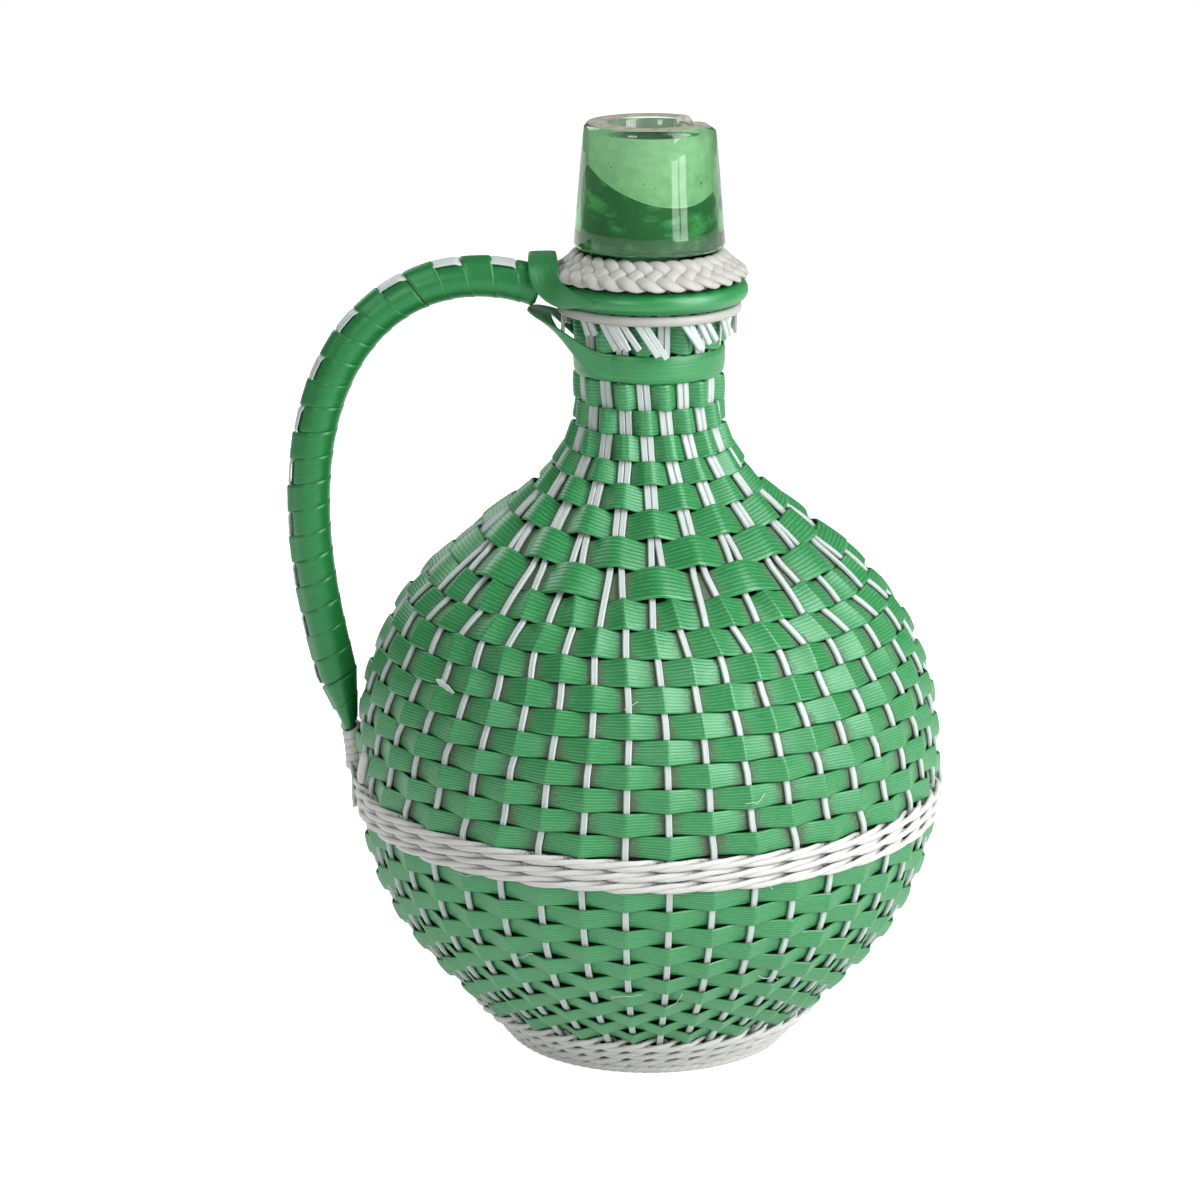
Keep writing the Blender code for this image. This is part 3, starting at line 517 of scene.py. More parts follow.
class Outline:
    """The glass's half outline by distance up it, and the heights that the jacket shares."""

    def __init__(self, scene):
        bottle, rings = scene.demijohn_bottle, scene.demijohn_rings
        self.foot_height = BASE_DISC_THICKNESS + GAP
        self.weave_top = bottle.neck_height + WEAVE_TOP_ABOVE_NECK
        self.neck_band_top = self.weave_top + GAP + NECK_BAND_HEIGHT
        self.neck_row_top = self.neck_band_top + ROW_GAP + NECK_ROW_HEIGHT
        self.white_ring_top = self.neck_row_top + GAP + rings.white_ring_size
        self.green_ring_top = self.white_ring_top + GAP + rings.green_ring_size
        self.collar_foot = self.green_ring_top + GAP + rings.plait_height + GAP
        self.rim_height = self.collar_foot + bottle.collar_height
        foot = (bottle.foot_radius, self.foot_height)
        foot_handle = (
            bottle.foot_radius + FOOT_REACH * cos(FOOT_ANGLE),
            self.foot_height + FOOT_REACH * sin(FOOT_ANGLE),
        )
        belly = (bottle.belly_radius, bottle.belly_height)
        neck = (bottle.neck_radius, bottle.neck_height)
        lower = bezier(foot, foot_handle, (belly[0], belly[1] - BELLY_REACH_DOWN), belly)
        belly_handle = (belly[0], belly[1] + BELLY_REACH_UP)
        upper = bezier(belly, belly_handle, (neck[0], neck[1] - NECK_REACH_DOWN), neck)
        top = np.array([[bottle.neck_top_radius, self.green_ring_top + OUTLINE_PAST_RING]])
        curve = np.vstack([lower, upper[1:], top])
        run = runs_of(curve)
        self.run = np.linspace(0.0, run[-1], OUTLINE_STEPS)
        self.radius = np.interp(self.run, run, curve[:, 0])
        self.height = np.interp(self.run, run, curve[:, 1])
        ahead = unit(np.gradient(np.stack([self.radius, self.height], axis=-1), axis=0))
        self.normal_radius = softened(ahead[:, 1], 6)
        self.normal_height = softened(-ahead[:, 0], 6)
        self.band_bottom = bottle.belly_height - BAND_DROP
        self.band_top = self.band_bottom + BAND_STRANDS * BAND_STRAND
        self.upper_levels = self.make_upper_levels()
        span = np.linspace(self.run_at(self.band_bottom), self.run_at(FOOT_BAND_HEIGHT), LOWER_ROWS + 1)
        self.lower_levels = np.interp(span, self.run, self.height)

    def make_upper_levels(self):
        """Heights between the rows above the belly band: taller rows on the neck."""
        start = self.weave_top - NECK_ROWS * NECK_ROW_PITCH
        first = self.weave_top - np.arange(NECK_ROWS) * NECK_ROW_PITCH
        return np.concatenate([first, np.linspace(start, self.band_top, UPPER_ROWS - NECK_ROWS + 1)])

    def run_at(self, height):
        """Distance up the outline at a height of the glass."""
        return np.interp(height, self.height, self.run)

    def place(self, run, depth):
        """Radius and height of the point this far out from the glass at a distance up it."""
        radius = np.interp(run, self.run, self.radius) + np.interp(run, self.run, self.normal_radius) * depth
        height = np.interp(run, self.run, self.height) + np.interp(run, self.run, self.normal_height) * depth
        return radius, height

    def wrapped(self, azimuth, run, depth):
        """Points on the jacket from their azimuth, distance up the glass and depth out from it."""
        radius, height = self.place(run, depth)
        return turned_point(azimuth, radius, height)

    def outward(self, azimuth, run):
        """The glass's outward direction."""
        normal_radius = np.interp(run, self.run, self.normal_radius)
        normal_height = np.interp(run, self.run, self.normal_height)
        return turned_point(azimuth, normal_radius, normal_height)


class Stakes:
    """Azimuths of the upright strands: in pairs on the neck, evenly spread below."""

    def __init__(self, scene, outline):
        jacket = scene.demijohn_jacket
        self.outline = outline
        self.count = jacket.stake_count
        self.step = 2 * pi / self.count
        self.spacing = jacket.stake_spacing
        self.width = jacket.stake_width
        self.inner = STAKE_INNER
        self.outer = STAKE_INNER + jacket.stake_thickness
        first = 2 + self.count % 2
        self.groups = [list(range(first))]
        self.groups += [[index, index + 1] for index in range(first, self.count, 2)]
        self.middle = (first - 1) / 2

    def even(self, stake):
        """Azimuth where the strands are spread evenly."""
        return BACK + (stake - self.middle) * self.step

    def lean(self, height):
        """How far the strands have turned about the axis at a height."""
        levels = self.outline.upper_levels
        start = levels[LEAN_START_ROW]
        return STAKE_LEAN * np.clip((height - start) / (self.outline.weave_top - start), 0.0, 1.0) ** 1.5

    def spread(self, height):
        """0 where the strands lie side by side, 1 where they are evenly spaced."""
        levels = self.outline.upper_levels
        top, bottom = levels[SPLIT_ROW], levels[SPLIT_ROW + SPLIT_ROWS]
        return np.clip((top - height) / (top - bottom), 0.0, 1.0)

    def gathered(self, azimuth, height):
        """Azimuth moved towards the front, where the strands lie closer on the shoulder."""
        levels, shares = zip(*reversed(STAKE_GATHER))
        return azimuth - np.interp(height, levels, shares) * np.cos(azimuth)

    def azimuth(self, group, member, height):
        """Azimuth of one strand of a group at a height of the glass."""
        centre = self.gathered(np.mean([self.even(stake) for stake in group]), height)
        even = self.gathered(self.even(group[member]), height)
        radius, _ = self.outline.place(self.outline.run_at(height), (self.inner + self.outer) / 2)
        paired = centre + (member - (len(group) - 1) / 2) * self.spacing / radius
        return paired + (even - paired) * self.spread(height) + self.lean(height)

    def parts(self, height):
        """The strands, or groups of them, that a ribbon crosses at a height."""
        if self.spread(height) < PAIRED_SPREAD:
            return [(group, list(range(len(group)))) for group in self.groups]
        return [(group, [member]) for group in self.groups for member in range(len(group))]


# Looks


def wire(tree, value, socket):
    """Join an output to a socket, or set the socket's own value."""
    if isinstance(value, bpy.types.NodeSocket):
        tree.links.new(value, socket)
    elif value is not None:
        socket.default_value = value


def maths(tree, operation, first, second=None, clamp=False):
    """One Math node."""
    node = tree.nodes.new("ShaderNodeMath")
    node.operation = operation
    node.use_clamp = clamp
    wire(tree, first, node.inputs[0])
    wire(tree, second, node.inputs[1])
    return node.outputs[0]


def mixed(tree, factor, first, second, blend="MIX"):
    """One colour Mix node."""
    node = tree.nodes.new("ShaderNodeMix")
    node.data_type = "RGBA"
    node.blend_type = blend
    wire(tree, factor, node.inputs[0])
    wire(tree, first, node.inputs[6])
    wire(tree, second, node.inputs[7])
    return node.outputs[2]


def noise(tree, vector, scale, detail=3.0, roughness=0.55):
    """One Noise node's value."""
    node = tree.nodes.new("ShaderNodeTexNoise")
    wire(tree, vector, node.inputs["Vector"])
    wire(tree, scale, node.inputs["Scale"])
    node.inputs["Detail"].default_value = detail
    node.inputs["Roughness"].default_value = roughness
    return node.outputs["Fac"]


def ramped(tree, value, low, high, start=0.0, end=1.0):
    """A value spread from start to end between two limits."""
    node = tree.nodes.new("ShaderNodeMapRange")
    node.clamp = True
    for socket, setting in zip(node.inputs, (value, low, high, start, end)):
        wire(tree, setting, socket)
    return node.outputs[0]


def scaled(tree, vector, factors):
    """A vector times a vector."""
    node = tree.nodes.new("ShaderNodeVectorMath")
    node.operation = "MULTIPLY"
    wire(tree, vector, node.inputs[0])
    wire(tree, factors, node.inputs[1])
    return node.outputs[0]


def object_place(tree):
    """Coordinates fixed to the object."""
    return tree.nodes.new("ShaderNodeTexCoord").outputs["Object"]


def new_group(name, inputs, outputs):
    """An empty shader group with named inputs and outputs."""
    tree = bpy.data.node_groups.new(name, "ShaderNodeTree")
    for label, kind, value in inputs:
        socket = tree.interface.new_socket(label, in_out="INPUT", socket_type=kind)
        if value is not None:
            socket.default_value = value
    for label, kind in outputs:
        tree.interface.new_socket(label, in_out="OUTPUT", socket_type=kind)
    return tree, tree.nodes.new("NodeGroupInput"), tree.nodes.new("NodeGroupOutput")


def settled_dust():
    """Shader group: dust that gathers where the mesh is marked for it."""
    found = bpy.data.node_groups.get("settled_dust")
    if found:
        return found
    tree, given, made = new_group(
        "settled_dust",
        [
            ("Color", "NodeSocketColor", (0.5, 0.5, 0.5, 1.0)),
            ("Dust Color", "NodeSocketColor", (0.2, 0.2, 0.2, 1.0)),
            ("Amount", "NodeSocketFloat", 1.0),
            ("Haze", "NodeSocketFloat", 0.1),
            ("Scale", "NodeSocketFloat", 900.0),
        ],
        [("Color", "NodeSocketColor"), ("Mask", "NodeSocketFloat")],
    )
    mark = tree.nodes.new("ShaderNodeAttribute")
    mark.attribute_name = "dust"
    place = object_place(tree)
    grains = ramped(tree, noise(tree, place, given.outputs["Scale"], 3.0, 0.75), 0.28, 0.72)
    patches = ramped(tree, noise(tree, place, 90.0, 3.0), 0.3, 0.7, 0.5, 1.15)
    marked = maths(tree, "MULTIPLY", mark.outputs["Fac"], given.outputs["Amount"])
    marked = maths(tree, "MULTIPLY", marked, patches)
    marked = maths(tree, "ADD", marked, maths(tree, "MULTIPLY", patches, given.outputs["Haze"]))
    speckled = ramped(tree, maths(tree, "ADD", grains, marked), 0.88, 1.12)
    film = maths(tree, "MULTIPLY", marked, 0.08)
    mask = maths(tree, "ADD", maths(tree, "MULTIPLY", speckled, 0.8), film, clamp=True)
    wire(tree, mixed(tree, mask, given.outputs["Color"], given.outputs["Dust Color"]), made.inputs["Color"])
    wire(tree, mask, made.inputs["Mask"])
    return tree


def drawn_streaks():
    """Shader group: fine lengthwise streaks of an extruded strand or ribbon."""
    found = bpy.data.node_groups.get("drawn_streaks")
    if found:
        return found
    tree, given, made = new_group(
        "drawn_streaks",
        [
            ("Color", "NodeSocketColor", (0.5, 0.5, 0.5, 1.0)),
            ("Streak Color", "NodeSocketColor", (0.7, 0.7, 0.7, 1.0)),
            ("Strength", "NodeSocketFloat", 0.4),
            ("Lengthwise", "NodeSocketFloat", 60.0),
            ("Crosswise", "NodeSocketFloat", 14.0),
        ],
        [("Color", "NodeSocketColor"), ("Height", "NodeSocketFloat")],
    )
    lines = tree.nodes.new("ShaderNodeUVMap")
    lines.uv_map = "strand"
    spread = tree.nodes.new("ShaderNodeCombineXYZ")
    wire(tree, given.outputs["Lengthwise"], spread.inputs[0])
    wire(tree, given.outputs["Crosswise"], spread.inputs[1])
    streaks = noise(tree, scaled(tree, lines.outputs[0], spread.outputs[0]), 1.0, 3.0, 0.6)
    cloudy = noise(tree, object_place(tree), 55.0, 2.0)
    share = maths(tree, "MULTIPLY", ramped(tree, streaks, 0.42, 0.72), given.outputs["Strength"])
    share = maths(tree, "MULTIPLY", share, ramped(tree, cloudy, 0.3, 0.7, 0.4, 1.4), clamp=True)
    streaked = mixed(tree, share, given.outputs["Color"], given.outputs["Streak Color"])
    wire(tree, streaked, made.inputs["Color"])
    wire(tree, streaks, made.inputs["Height"])
    return tree


def rib_shade_and_highlights():
    """Shader group: painted shade in the grooves and painted highlights on the crests between a ribbon's
    lengthwise ribs.
    """
    found = bpy.data.node_groups.get("rib_shade_and_highlights")
    if found:
        return found
    tree, given, made = new_group(
        "rib_shade_and_highlights",
        [
            ("Color", "NodeSocketColor", (0.5, 0.5, 0.5, 1.0)),
            ("Groove Color", "NodeSocketColor", (0.1, 0.1, 0.1, 1.0)),
            ("Crest Color", "NodeSocketColor", (0.9, 0.9, 0.9, 1.0)),
            ("Ribs", "NodeSocketFloat", 8.0),
            ("Strength", "NodeSocketFloat", 0.5),
        ],
        [("Color", "NodeSocketColor"), ("Height", "NodeSocketFloat")],
    )
    lines = tree.nodes.new("ShaderNodeUVMap")
    lines.uv_map = "strand"
    parts = tree.nodes.new("ShaderNodeSeparateXYZ")
    wire(tree, lines.outputs[0], parts.inputs[0])
    waver = ramped(tree, noise(tree, object_place(tree), 120.0, 2.0), 0.3, 0.7, -0.10, 0.10)
    place = maths(tree, "ADD", maths(tree, "MULTIPLY", parts.outputs[1], given.outputs["Ribs"]), waver)
    beside = maths(tree, "ABSOLUTE", maths(tree, "SUBTRACT", maths(tree, "FRACT", place), 0.5))
    height = ramped(tree, beside, 0.5, 0.28)
    # Painted shade: a dark line along each groove.
    groove = ramped(tree, beside, 0.38, 0.48)
    # Painted highlight: a pale line along each crest, broken into dashes below.
    crest = ramped(tree, beside, 0.11, 0.02)
    dashes = noise(tree, scaled(tree, lines.outputs[0], (300.0, 9.0, 1.0)), 1.0, 2.0)
    broken = ramped(tree, dashes, 0.34, 0.54)
    crest = maths(tree, "MULTIPLY", maths(tree, "MULTIPLY", crest, broken), given.outputs["Strength"])
    groove = maths(tree, "MULTIPLY", groove, given.outputs["Strength"], clamp=True)
    shaded = mixed(tree, groove, given.outputs["Color"], given.outputs["Groove Color"])
    wire(tree, mixed(tree, crest, shaded, given.outputs["Crest Color"]), made.inputs["Color"])
    wire(tree, height, made.inputs["Height"])
    return tree


def place_group(tree, group, **values):
    """A group placed in a material with its own values."""
    node = tree.nodes.new("ShaderNodeGroup")
    node.node_tree = group
    for label, value in values.items():
        wire(tree, value, node.inputs[label.replace("_", " ")])
    return node


def new_look(name):
    """A material with an empty Principled shader."""
    look = bpy.data.materials.new(name)
    look.use_nodes = True
    return look, look.node_tree, look.node_tree.nodes["Principled BSDF"]


def solid(rgb):
    """A colour with full alpha."""
    return (*rgb, 1.0)


def bumped(tree, height, distance, strength, shader):
    """Feed a height to a shader's normal."""
    node = tree.nodes.new("ShaderNodeBump")
    node.inputs["Strength"].default_value = strength
    node.inputs["Distance"].default_value = distance
    wire(tree, height, node.inputs["Height"])
    tree.links.new(node.outputs["Normal"], shader.inputs["Normal"])


def ribbon_look(scene, name="ribbon_green", dust_amount=1.0, haze=0.02, rib_strength=0.5, wound=False):
    """Ribbed green ribbon: streaked, rubbed pale here and there, dusty beside the strands, with painted
    shade in the grooves between its ribs and painted highlights on their crests.
    """
    found = bpy.data.materials.get(name)
    if found:
        return found
    colours = scene.demijohn_colours
    look, tree, shader = new_look(name)
    streaks = place_group(
        tree,
        drawn_streaks(),
        Color=solid(colours.ribbon_dark if wound else colours.ribbon),
        Streak_Color=solid(colours.ribbon_pale_and_crest_highlight),
        Strength=0.06 if wound else 0.12,
        Lengthwise=30.0,
        Crosswise=26.0,
    )
    ribs = place_group(
        tree,
        rib_shade_and_highlights(),
        Color=streaks.outputs["Color"],
        Groove_Color=solid(colours.ribbon_groove_shade),
        Crest_Color=solid(colours.ribbon_pale_and_crest_highlight),
        Ribs=float(RIBS),
        Strength=rib_strength,
    )
    dusty = place_group(
        tree,
        settled_dust(),
        Color=ribs.outputs["Color"],
        Dust_Color=solid(colours.dust),
        Amount=dust_amount,
        Haze=haze,
        Scale=1500.0,
    )
    wire(tree, dusty.outputs["Color"], shader.inputs["Base Color"])
    wire(tree, ramped(tree, dusty.outputs["Mask"], 0.0, 0.7, 0.40, 0.85), shader.inputs["Roughness"])
    shader.inputs["Specular IOR Level"].default_value = 1.0
    sheen = colours.sheen_wound if wound else colours.sheen
    shader.inputs["Specular Tint"].default_value = solid(sheen)
    grain = noise(tree, object_place(tree), 2400.0, 3.0)
    height = maths(tree, "ADD", streaks.outputs["Height"], maths(tree, "MULTIPLY", grain, 0.4))
    height = maths(tree, "ADD", height, maths(tree, "MULTIPLY", ribs.outputs["Height"], rib_strength))
    bumped(tree, height, 0.00010, 0.45, shader)
    return look


def plain_ribbon_look(scene):
    """Smoother green ribbon, round the neck."""
    return ribbon_look(scene, "ribbon_plain", 0.8, 0.04, 0.12)


def strand_look(scene, name="strand_white", grime=0.7, haze=0.0, shade="strand"):
    """White strand: finely streaked, grey with dust in its hollows."""
    found = bpy.data.materials.get(name)
    if found:
        return found
    colours = scene.demijohn_colours
    look, tree, shader = new_look(name)
    streaks = place_group(
        tree,
        drawn_streaks(),
        Color=solid(getattr(colours, shade)),
        Streak_Color=solid(colours.strand_aged),
        Strength=0.22,
        Lengthwise=40.0,
        Crosswise=9.0,
    )
    dusty = place_group(
        tree,
        settled_dust(),
        Color=streaks.outputs["Color"],
        Dust_Color=solid(colours.dust),
        Amount=grime,
        Haze=haze,
        Scale=1000.0,
    )
    wire(tree, dusty.outputs["Color"], shader.inputs["Base Color"])
    wire(tree, ramped(tree, dusty.outputs["Mask"], 0.0, 0.7, 0.42, 0.85), shader.inputs["Roughness"])
    shader.inputs["Specular IOR Level"].default_value = 0.4
    bumped(tree, streaks.outputs["Height"], 0.00012, 0.4, shader)
    return look


def band_look(scene):
    """White strand of the twined bands and the lashing."""
    return strand_look(scene, "strand_band", 0.55, 0.0, "strand_band")


def neck_look(scene):
    """White strand of the neck's ring and plait."""
    return strand_look(scene, "strand_neck", 0.7, 0.0, "strand_neck")


def painted_collar_film_look(scene):
    """A film seen through the collar, with painted light and shade: pale and thin above, painted shade in
    deep mottled green below, with a painted highlight line between.
    """
    colours = scene.demijohn_colours
    look, tree, shader = new_look("collar_film_painted")
    place = object_place(tree)
    patches = noise(tree, scaled(tree, place, (1.0, 1.0, 1.9)), 75.0, 4.0, 0.6)
    # Painted light and shade: the dark part mottled with lighter patches.
    painted_lit_patches = ramped(tree, patches, 0.50, 0.66)
    mottled = mixed(tree, painted_lit_patches, solid(colours.glass_shade_and_flecks), solid(colours.glass_painted_light))
    parts = tree.nodes.new("ShaderNodeSeparateXYZ")
    wire(tree, place, parts.inputs[0])
    behind = ramped(tree, parts.outputs[1], -0.002, 0.002)
    flecks = ramped(tree, noise(tree, place, 380.0, 3.0, 0.7), 0.66, 0.72, 0.0, 0.8)
    haze = mixed(tree, flecks, solid(colours.glass_haze_and_painted_light), solid(colours.glass_shade_and_flecks))
    # Painted shade: the film darker at the back of the collar.
    haze = mixed(tree, maths(tree, "MULTIPLY", behind, 0.25), haze, solid(colours.shade))
    mark = tree.nodes.new("ShaderNodeAttribute")
    mark.attribute_name = "dust"
    # Painted shade: the inner face darker at the back, where the bore lies in shade.
    inside = maths(tree, "MULTIPLY", mark.outputs["Fac"], -1.0, clamp=True)
    haze = mixed(tree, maths(tree, "MULTIPLY", inside, 0.42), haze, solid(colours.shade))
    beside = maths(tree, "ABSOLUTE", maths(tree, "SUBTRACT", mark.outputs["Fac"], 0.5))
    # Painted highlight along the edge between the pale and the dark parts.
    line = ramped(tree, beside, 0.45, 0.10)
    both = mixed(tree, ramped(tree, mark.outputs["Fac"], 0.3, 0.7), haze, mottled)
    wire(tree, mixed(tree, line, both, solid(colours.glass_highlight_line)), shader.inputs["Base Color"])
    shader.inputs["Roughness"].default_value = 0.5
    thin = ramped(tree, noise(tree, place, 130.0, 3.0), 0.3, 0.7, 0.50, 0.80)
    thin = maths(tree, "MAXIMUM", thin, maths(tree, "MULTIPLY", behind, 0.55))
    thin = maths(tree, "MAXIMUM", thin, maths(tree, "MULTIPLY", inside, 0.85))
    wire(tree, ramped(tree, mark.outputs["Fac"], 0.2, 0.8, thin, 1.0), shader.inputs["Alpha"])
    return look


def film_look(scene):
    """A dusty film, thin in patches."""
    look, tree, shader = new_look("rim_film")
    shader.inputs["Base Color"].default_value = solid(scene.demijohn_colours.rim_film)
    shader.inputs["Roughness"].default_value = 0.8
    patches = noise(tree, object_place(tree), 320.0, 4.0, 0.65)
    wire(tree, ramped(tree, patches, 0.35, 0.62, 0.45, 0.92), shader.inputs["Alpha"])
    return look


def shade_and_grime_look(scene):
    """Dull dark painted shade and grime."""
    # Painted shade with some dust: a flat dark colour for the sleeve under the jacket.
    look, _, shader = new_look("grime")
    shader.inputs["Base Color"].default_value = solid(scene.demijohn_colours.shade)
    shader.inputs["Roughness"].default_value = 0.95
    shader.inputs["Specular IOR Level"].default_value = 0.1
    return look


def core_look(scene):
    """The handle's core: fibrous and grey with dust."""
    found = bpy.data.materials.get("core_grey")
    if found:
        return found
    colours = scene.demijohn_colours
    look, tree, shader = new_look("core_grey")
    streaks = place_group(
        tree,
        drawn_streaks(),
        Color=solid(colours.core),
        Streak_Color=solid(colours.dust),
        Strength=0.9,
        Lengthwise=120.0,
        Crosswise=30.0,
    )
    wire(tree, streaks.outputs["Color"], shader.inputs["Base Color"])
    shader.inputs["Roughness"].default_value = 0.9
    bumped(tree, streaks.outputs["Height"], 0.0003, 0.8, shader)
    return look


def glass_look(scene):
    """Green bottle glass: clear at the surface, coloured by its depth."""
    found = bpy.data.materials.get("glass_green")
    if found:
        return found
    look, tree, shader = new_look("glass_green")
    shader.inputs["Base Color"].default_value = (1.0, 1.0, 1.0, 1.0)
    shader.inputs["Transmission Weight"].default_value = 1.0
    shader.inputs["IOR"].default_value = GLASS_IOR
    smears = noise(tree, object_place(tree), 160.0, 3.0)
    wire(tree, ramped(tree, smears, 0.45, 0.75, 0.01, 0.09), shader.inputs["Roughness"])
    depth = tree.nodes.new("ShaderNodeVolumeAbsorption")
    depth.inputs["Color"].default_value = solid(scene.demijohn_colours.glass)
    depth.inputs["Density"].default_value = GLASS_DENSITY
    tree.links.new(depth.outputs[0], tree.nodes["Material Output"].inputs["Volume"])
    waves = noise(tree, object_place(tree), 70.0, 2.0)
    bumped(tree, waves, 0.0006, 0.25, shader)
    return look


# Glass and disc


def bottle_profile(bottle, outline):
    """The bottle's whole section as (radius, height), from the punt up and back down inside."""
    tall, foot, wall = outline.rim_height, outline.collar_foot, bottle.body_wall
    top = tall - RIM_UNDER_FILM
    keep = outline.height < foot - 0.0005
    outside = np.stack([outline.radius[keep], outline.height[keep]], axis=-1)[::16]
    punt = [(0.0004, outline.foot_height + PUNT_RISE)]
    for share in (0.25, 0.5, 0.75, 0.92):
        punt.append((PUNT_RADIUS * share, outline.foot_height + PUNT_RISE * (1 - share**2) ** 0.8))
    punt += [(PUNT_RADIUS, outline.foot_height + 0.0002), (bottle.foot_radius - 0.004, outline.foot_height)]
    collar = [
        (bottle.neck_top_radius, foot - 0.0004),
        (bottle.neck_top_radius + 0.0006, foot),
        (bottle.collar_foot_radius - 1.6 * LIP_ROUND, foot),
        (bottle.collar_foot_radius - 0.4 * LIP_ROUND, foot + 0.4 * LIP_ROUND),
        (bottle.collar_foot_radius, foot + 1.6 * LIP_ROUND),
    ]
    for share in (0.2, 0.4, 0.6, 0.8):
        radius = bottle.collar_foot_radius + (bottle.rim_radius - bottle.collar_foot_radius) * share
        collar.append((radius, foot + (tall - foot) * share))
    for step in range(6):
        angle = pi / 2 * step / 5
        collar.append((
            bottle.rim_radius - RIM_ROUND * (1 - cos(angle)),
            top - RIM_ROUND * (1 - sin(angle)),
        ))
    bore = bottle.bore_radius
    collar += [(bore + 1.5 * LIP_ROUND, top), (bore + 0.5 * LIP_ROUND, tall - 0.4 * LIP_ROUND)]
    collar += [(bore, tall - 1.4 * LIP_ROUND), (bore + 0.0002, tall - 0.5 * bottle.bore_depth)]
    collar += [(bore + 0.0002, tall - bottle.bore_depth), (bore + 0.0002, foot + 0.0070)]
    collar += [(bore + wider, foot + above) for wider, above in BORE_FOOT]
    lowest = outline.run_at(outline.foot_height + BASE_WALL) + 0.012
    runs = np.linspace(outline.run[-1] - 0.006, lowest, 70)
    radius, height = outline.place(runs, -wall)
    inside = np.stack([radius, height], axis=-1)
    floor = outline.foot_height + BASE_WALL
    bottom = [(bottle.foot_radius - 0.002, floor + 0.0012), (PUNT_RADIUS, floor)]
    bottom += [(PUNT_RADIUS * 0.6, floor + PUNT_RISE * 0.7), (0.0004, floor + PUNT_RISE)]
    return np.vstack([punt, outside, collar, inside, bottom])


class DEMIJOHN_OT_bottle(Operator):
    """Make the glass bottle with its chipped rim"""

    bl_idname = "demijohn.bottle"
    bl_label = "Glass bottle"

    def execute(self, context):
        scene = context.scene
        outline = Outline(scene)
        bottle = scene.demijohn_bottle
        profile = bottle_profile(bottle, outline)
        sides = 128
        azimuth = 2 * pi * np.arange(sides) / sides
        radius = np.broadcast_to(profile[:, 0], (sides, len(profile))).copy()
        height = np.broadcast_to(profile[:, 1], (sides, len(profile))).copy()
        chip = chip_share(azimuth)[:, None] * bottle.chip_depth
        rim = outline.rim_height
        height -= chip * near_rim(height, rim)
        grid = turned_point(azimuth[:, None], radius, height)
        piece = skin("bottle_glass", np.swapaxes(grid, 0, 1), sharp=radians(60))
        finish_piece(piece, glass_look(scene), "green_glass", "glass_bottle")
        make_painted_collar_film(scene, outline)
        make_rim_film(scene, outline)
        make_shade_and_grime(scene, outline)
        return {"FINISHED"}


def ring_sections(azimuth, radius, height):
    """The (radius, height) section of a ring at each azimuth."""
    return np.stack(np.broadcast_arrays(radius + 0 * azimuth[:, None], height), axis=-1)


def near_rim(height, rim):
    """1 at the rim, 0 from 4 mm below it."""
    return np.clip((height - (rim - CHIP_DEEPEST)) / CHIP_FADE, 0.0, 1.0)


def make_painted_collar_film(scene, outline):
    """The film that shows through the collar: painted pale light above a slanting edge, painted shade in
    deep green below it.
    """
    count = 160
    azimuth = 2 * pi * np.arange(count) / count
    edge = outline.rim_height - (EDGE_MEAN + EDGE_SLANT * np.cos(azimuth + EDGE_TURN))
    back = np.clip(np.sin(azimuth) / 0.3, 0.0, 1.0)
    upper = outline.rim_height - FILM_UNDER_RIM + FILM_RISE_BEHIND * back
    lower = np.full(count, outline.collar_foot + FILM_ABOVE_FOOT)
    fall = np.clip(np.sin(azimuth) / 0.75, 0.0, 1.0) ** 1.3
    edge = edge + (lower + 0.0008 - edge) * fall
    wall = [upper, (upper + edge) / 2, edge + EDGE_HALF, edge - EDGE_HALF, (edge + lower) / 2, lower]
    under = lower - FILM_THICKNESS
    height = np.stack(wall + [lower, under, under] + wall[-2::-1], axis=-1)
    flange = scene.demijohn_bottle.collar_foot_radius - FLANGE_INSET
    radius = np.array([FILM_RADIUS] * 6 + [flange] * 2 + [FILM_RADIUS - FILM_THICKNESS] * 6)
    # Marks carried in the dust attribute: 0 on the outer face's pale, painted-light part, 1 on its
    # painted-shade part and the flange.
    deep = np.array([0.0] * 3 + [1.0] * 8)
    sections = ring_sections(azimuth, radius, height)
    # Below zero on the inner face's pale part at the back, where the film is darkened as painted shade.
    pale = -back[:, None] * np.ones(3)
    marks = np.concatenate([np.tile(deep, (count, 1)), pale], axis=1)
    look = painted_collar_film_look(scene)
    ring_of_section("painted_collar_film", azimuth, sections, look, "green_glass", "glass_bottle", dust=marks)


def make_rim_film(scene, outline):
    """The thin dusty film that lies on the rim."""
    bottle = scene.demijohn_bottle
    azimuth = 2 * pi * np.arange(128) / 128
    inner, outer = bottle.bore_radius + 0.0010, bottle.rim_radius - 0.0012
    radius = np.array([inner, inner + 0.0009, outer - 0.0012, outer, outer - 0.0012, inner + 0.0009])
    top = outline.rim_height
    height = top - np.array([0.00045, 0.00005, 0.00005, 0.00028, 0.00015, 0.00015])
    chip = chip_share(azimuth)[:, None] * bottle.chip_depth
    height = height[None, :] - chip * near_rim(height, top)[None, :]
    sections = ring_sections(azimuth, radius, height)
    ring_of_section("rim_film", azimuth, sections, film_look(scene), "green_glass", "glass_bottle")


def make_shade_and_grime(scene, outline):
    """A dark sleeve on the glass under the jacket: painted shade under the weave, and the dust that shows
    between its rows.
    """
    azimuth = 2 * pi * np.arange(96) / 96
    runs = np.linspace(0.0008, outline.run[-1] - 0.0120, 70)
    depth = np.repeat([0.00035, 0.00010], len(runs))
    radius, height = outline.place(np.concatenate([runs, runs[::-1]]), depth)
    sections = ring_sections(azimuth, radius, height)
    ring_of_section("glass_shade_and_grime", azimuth, sections, shade_and_grime_look(scene), "green_glass", "glass_bottle")


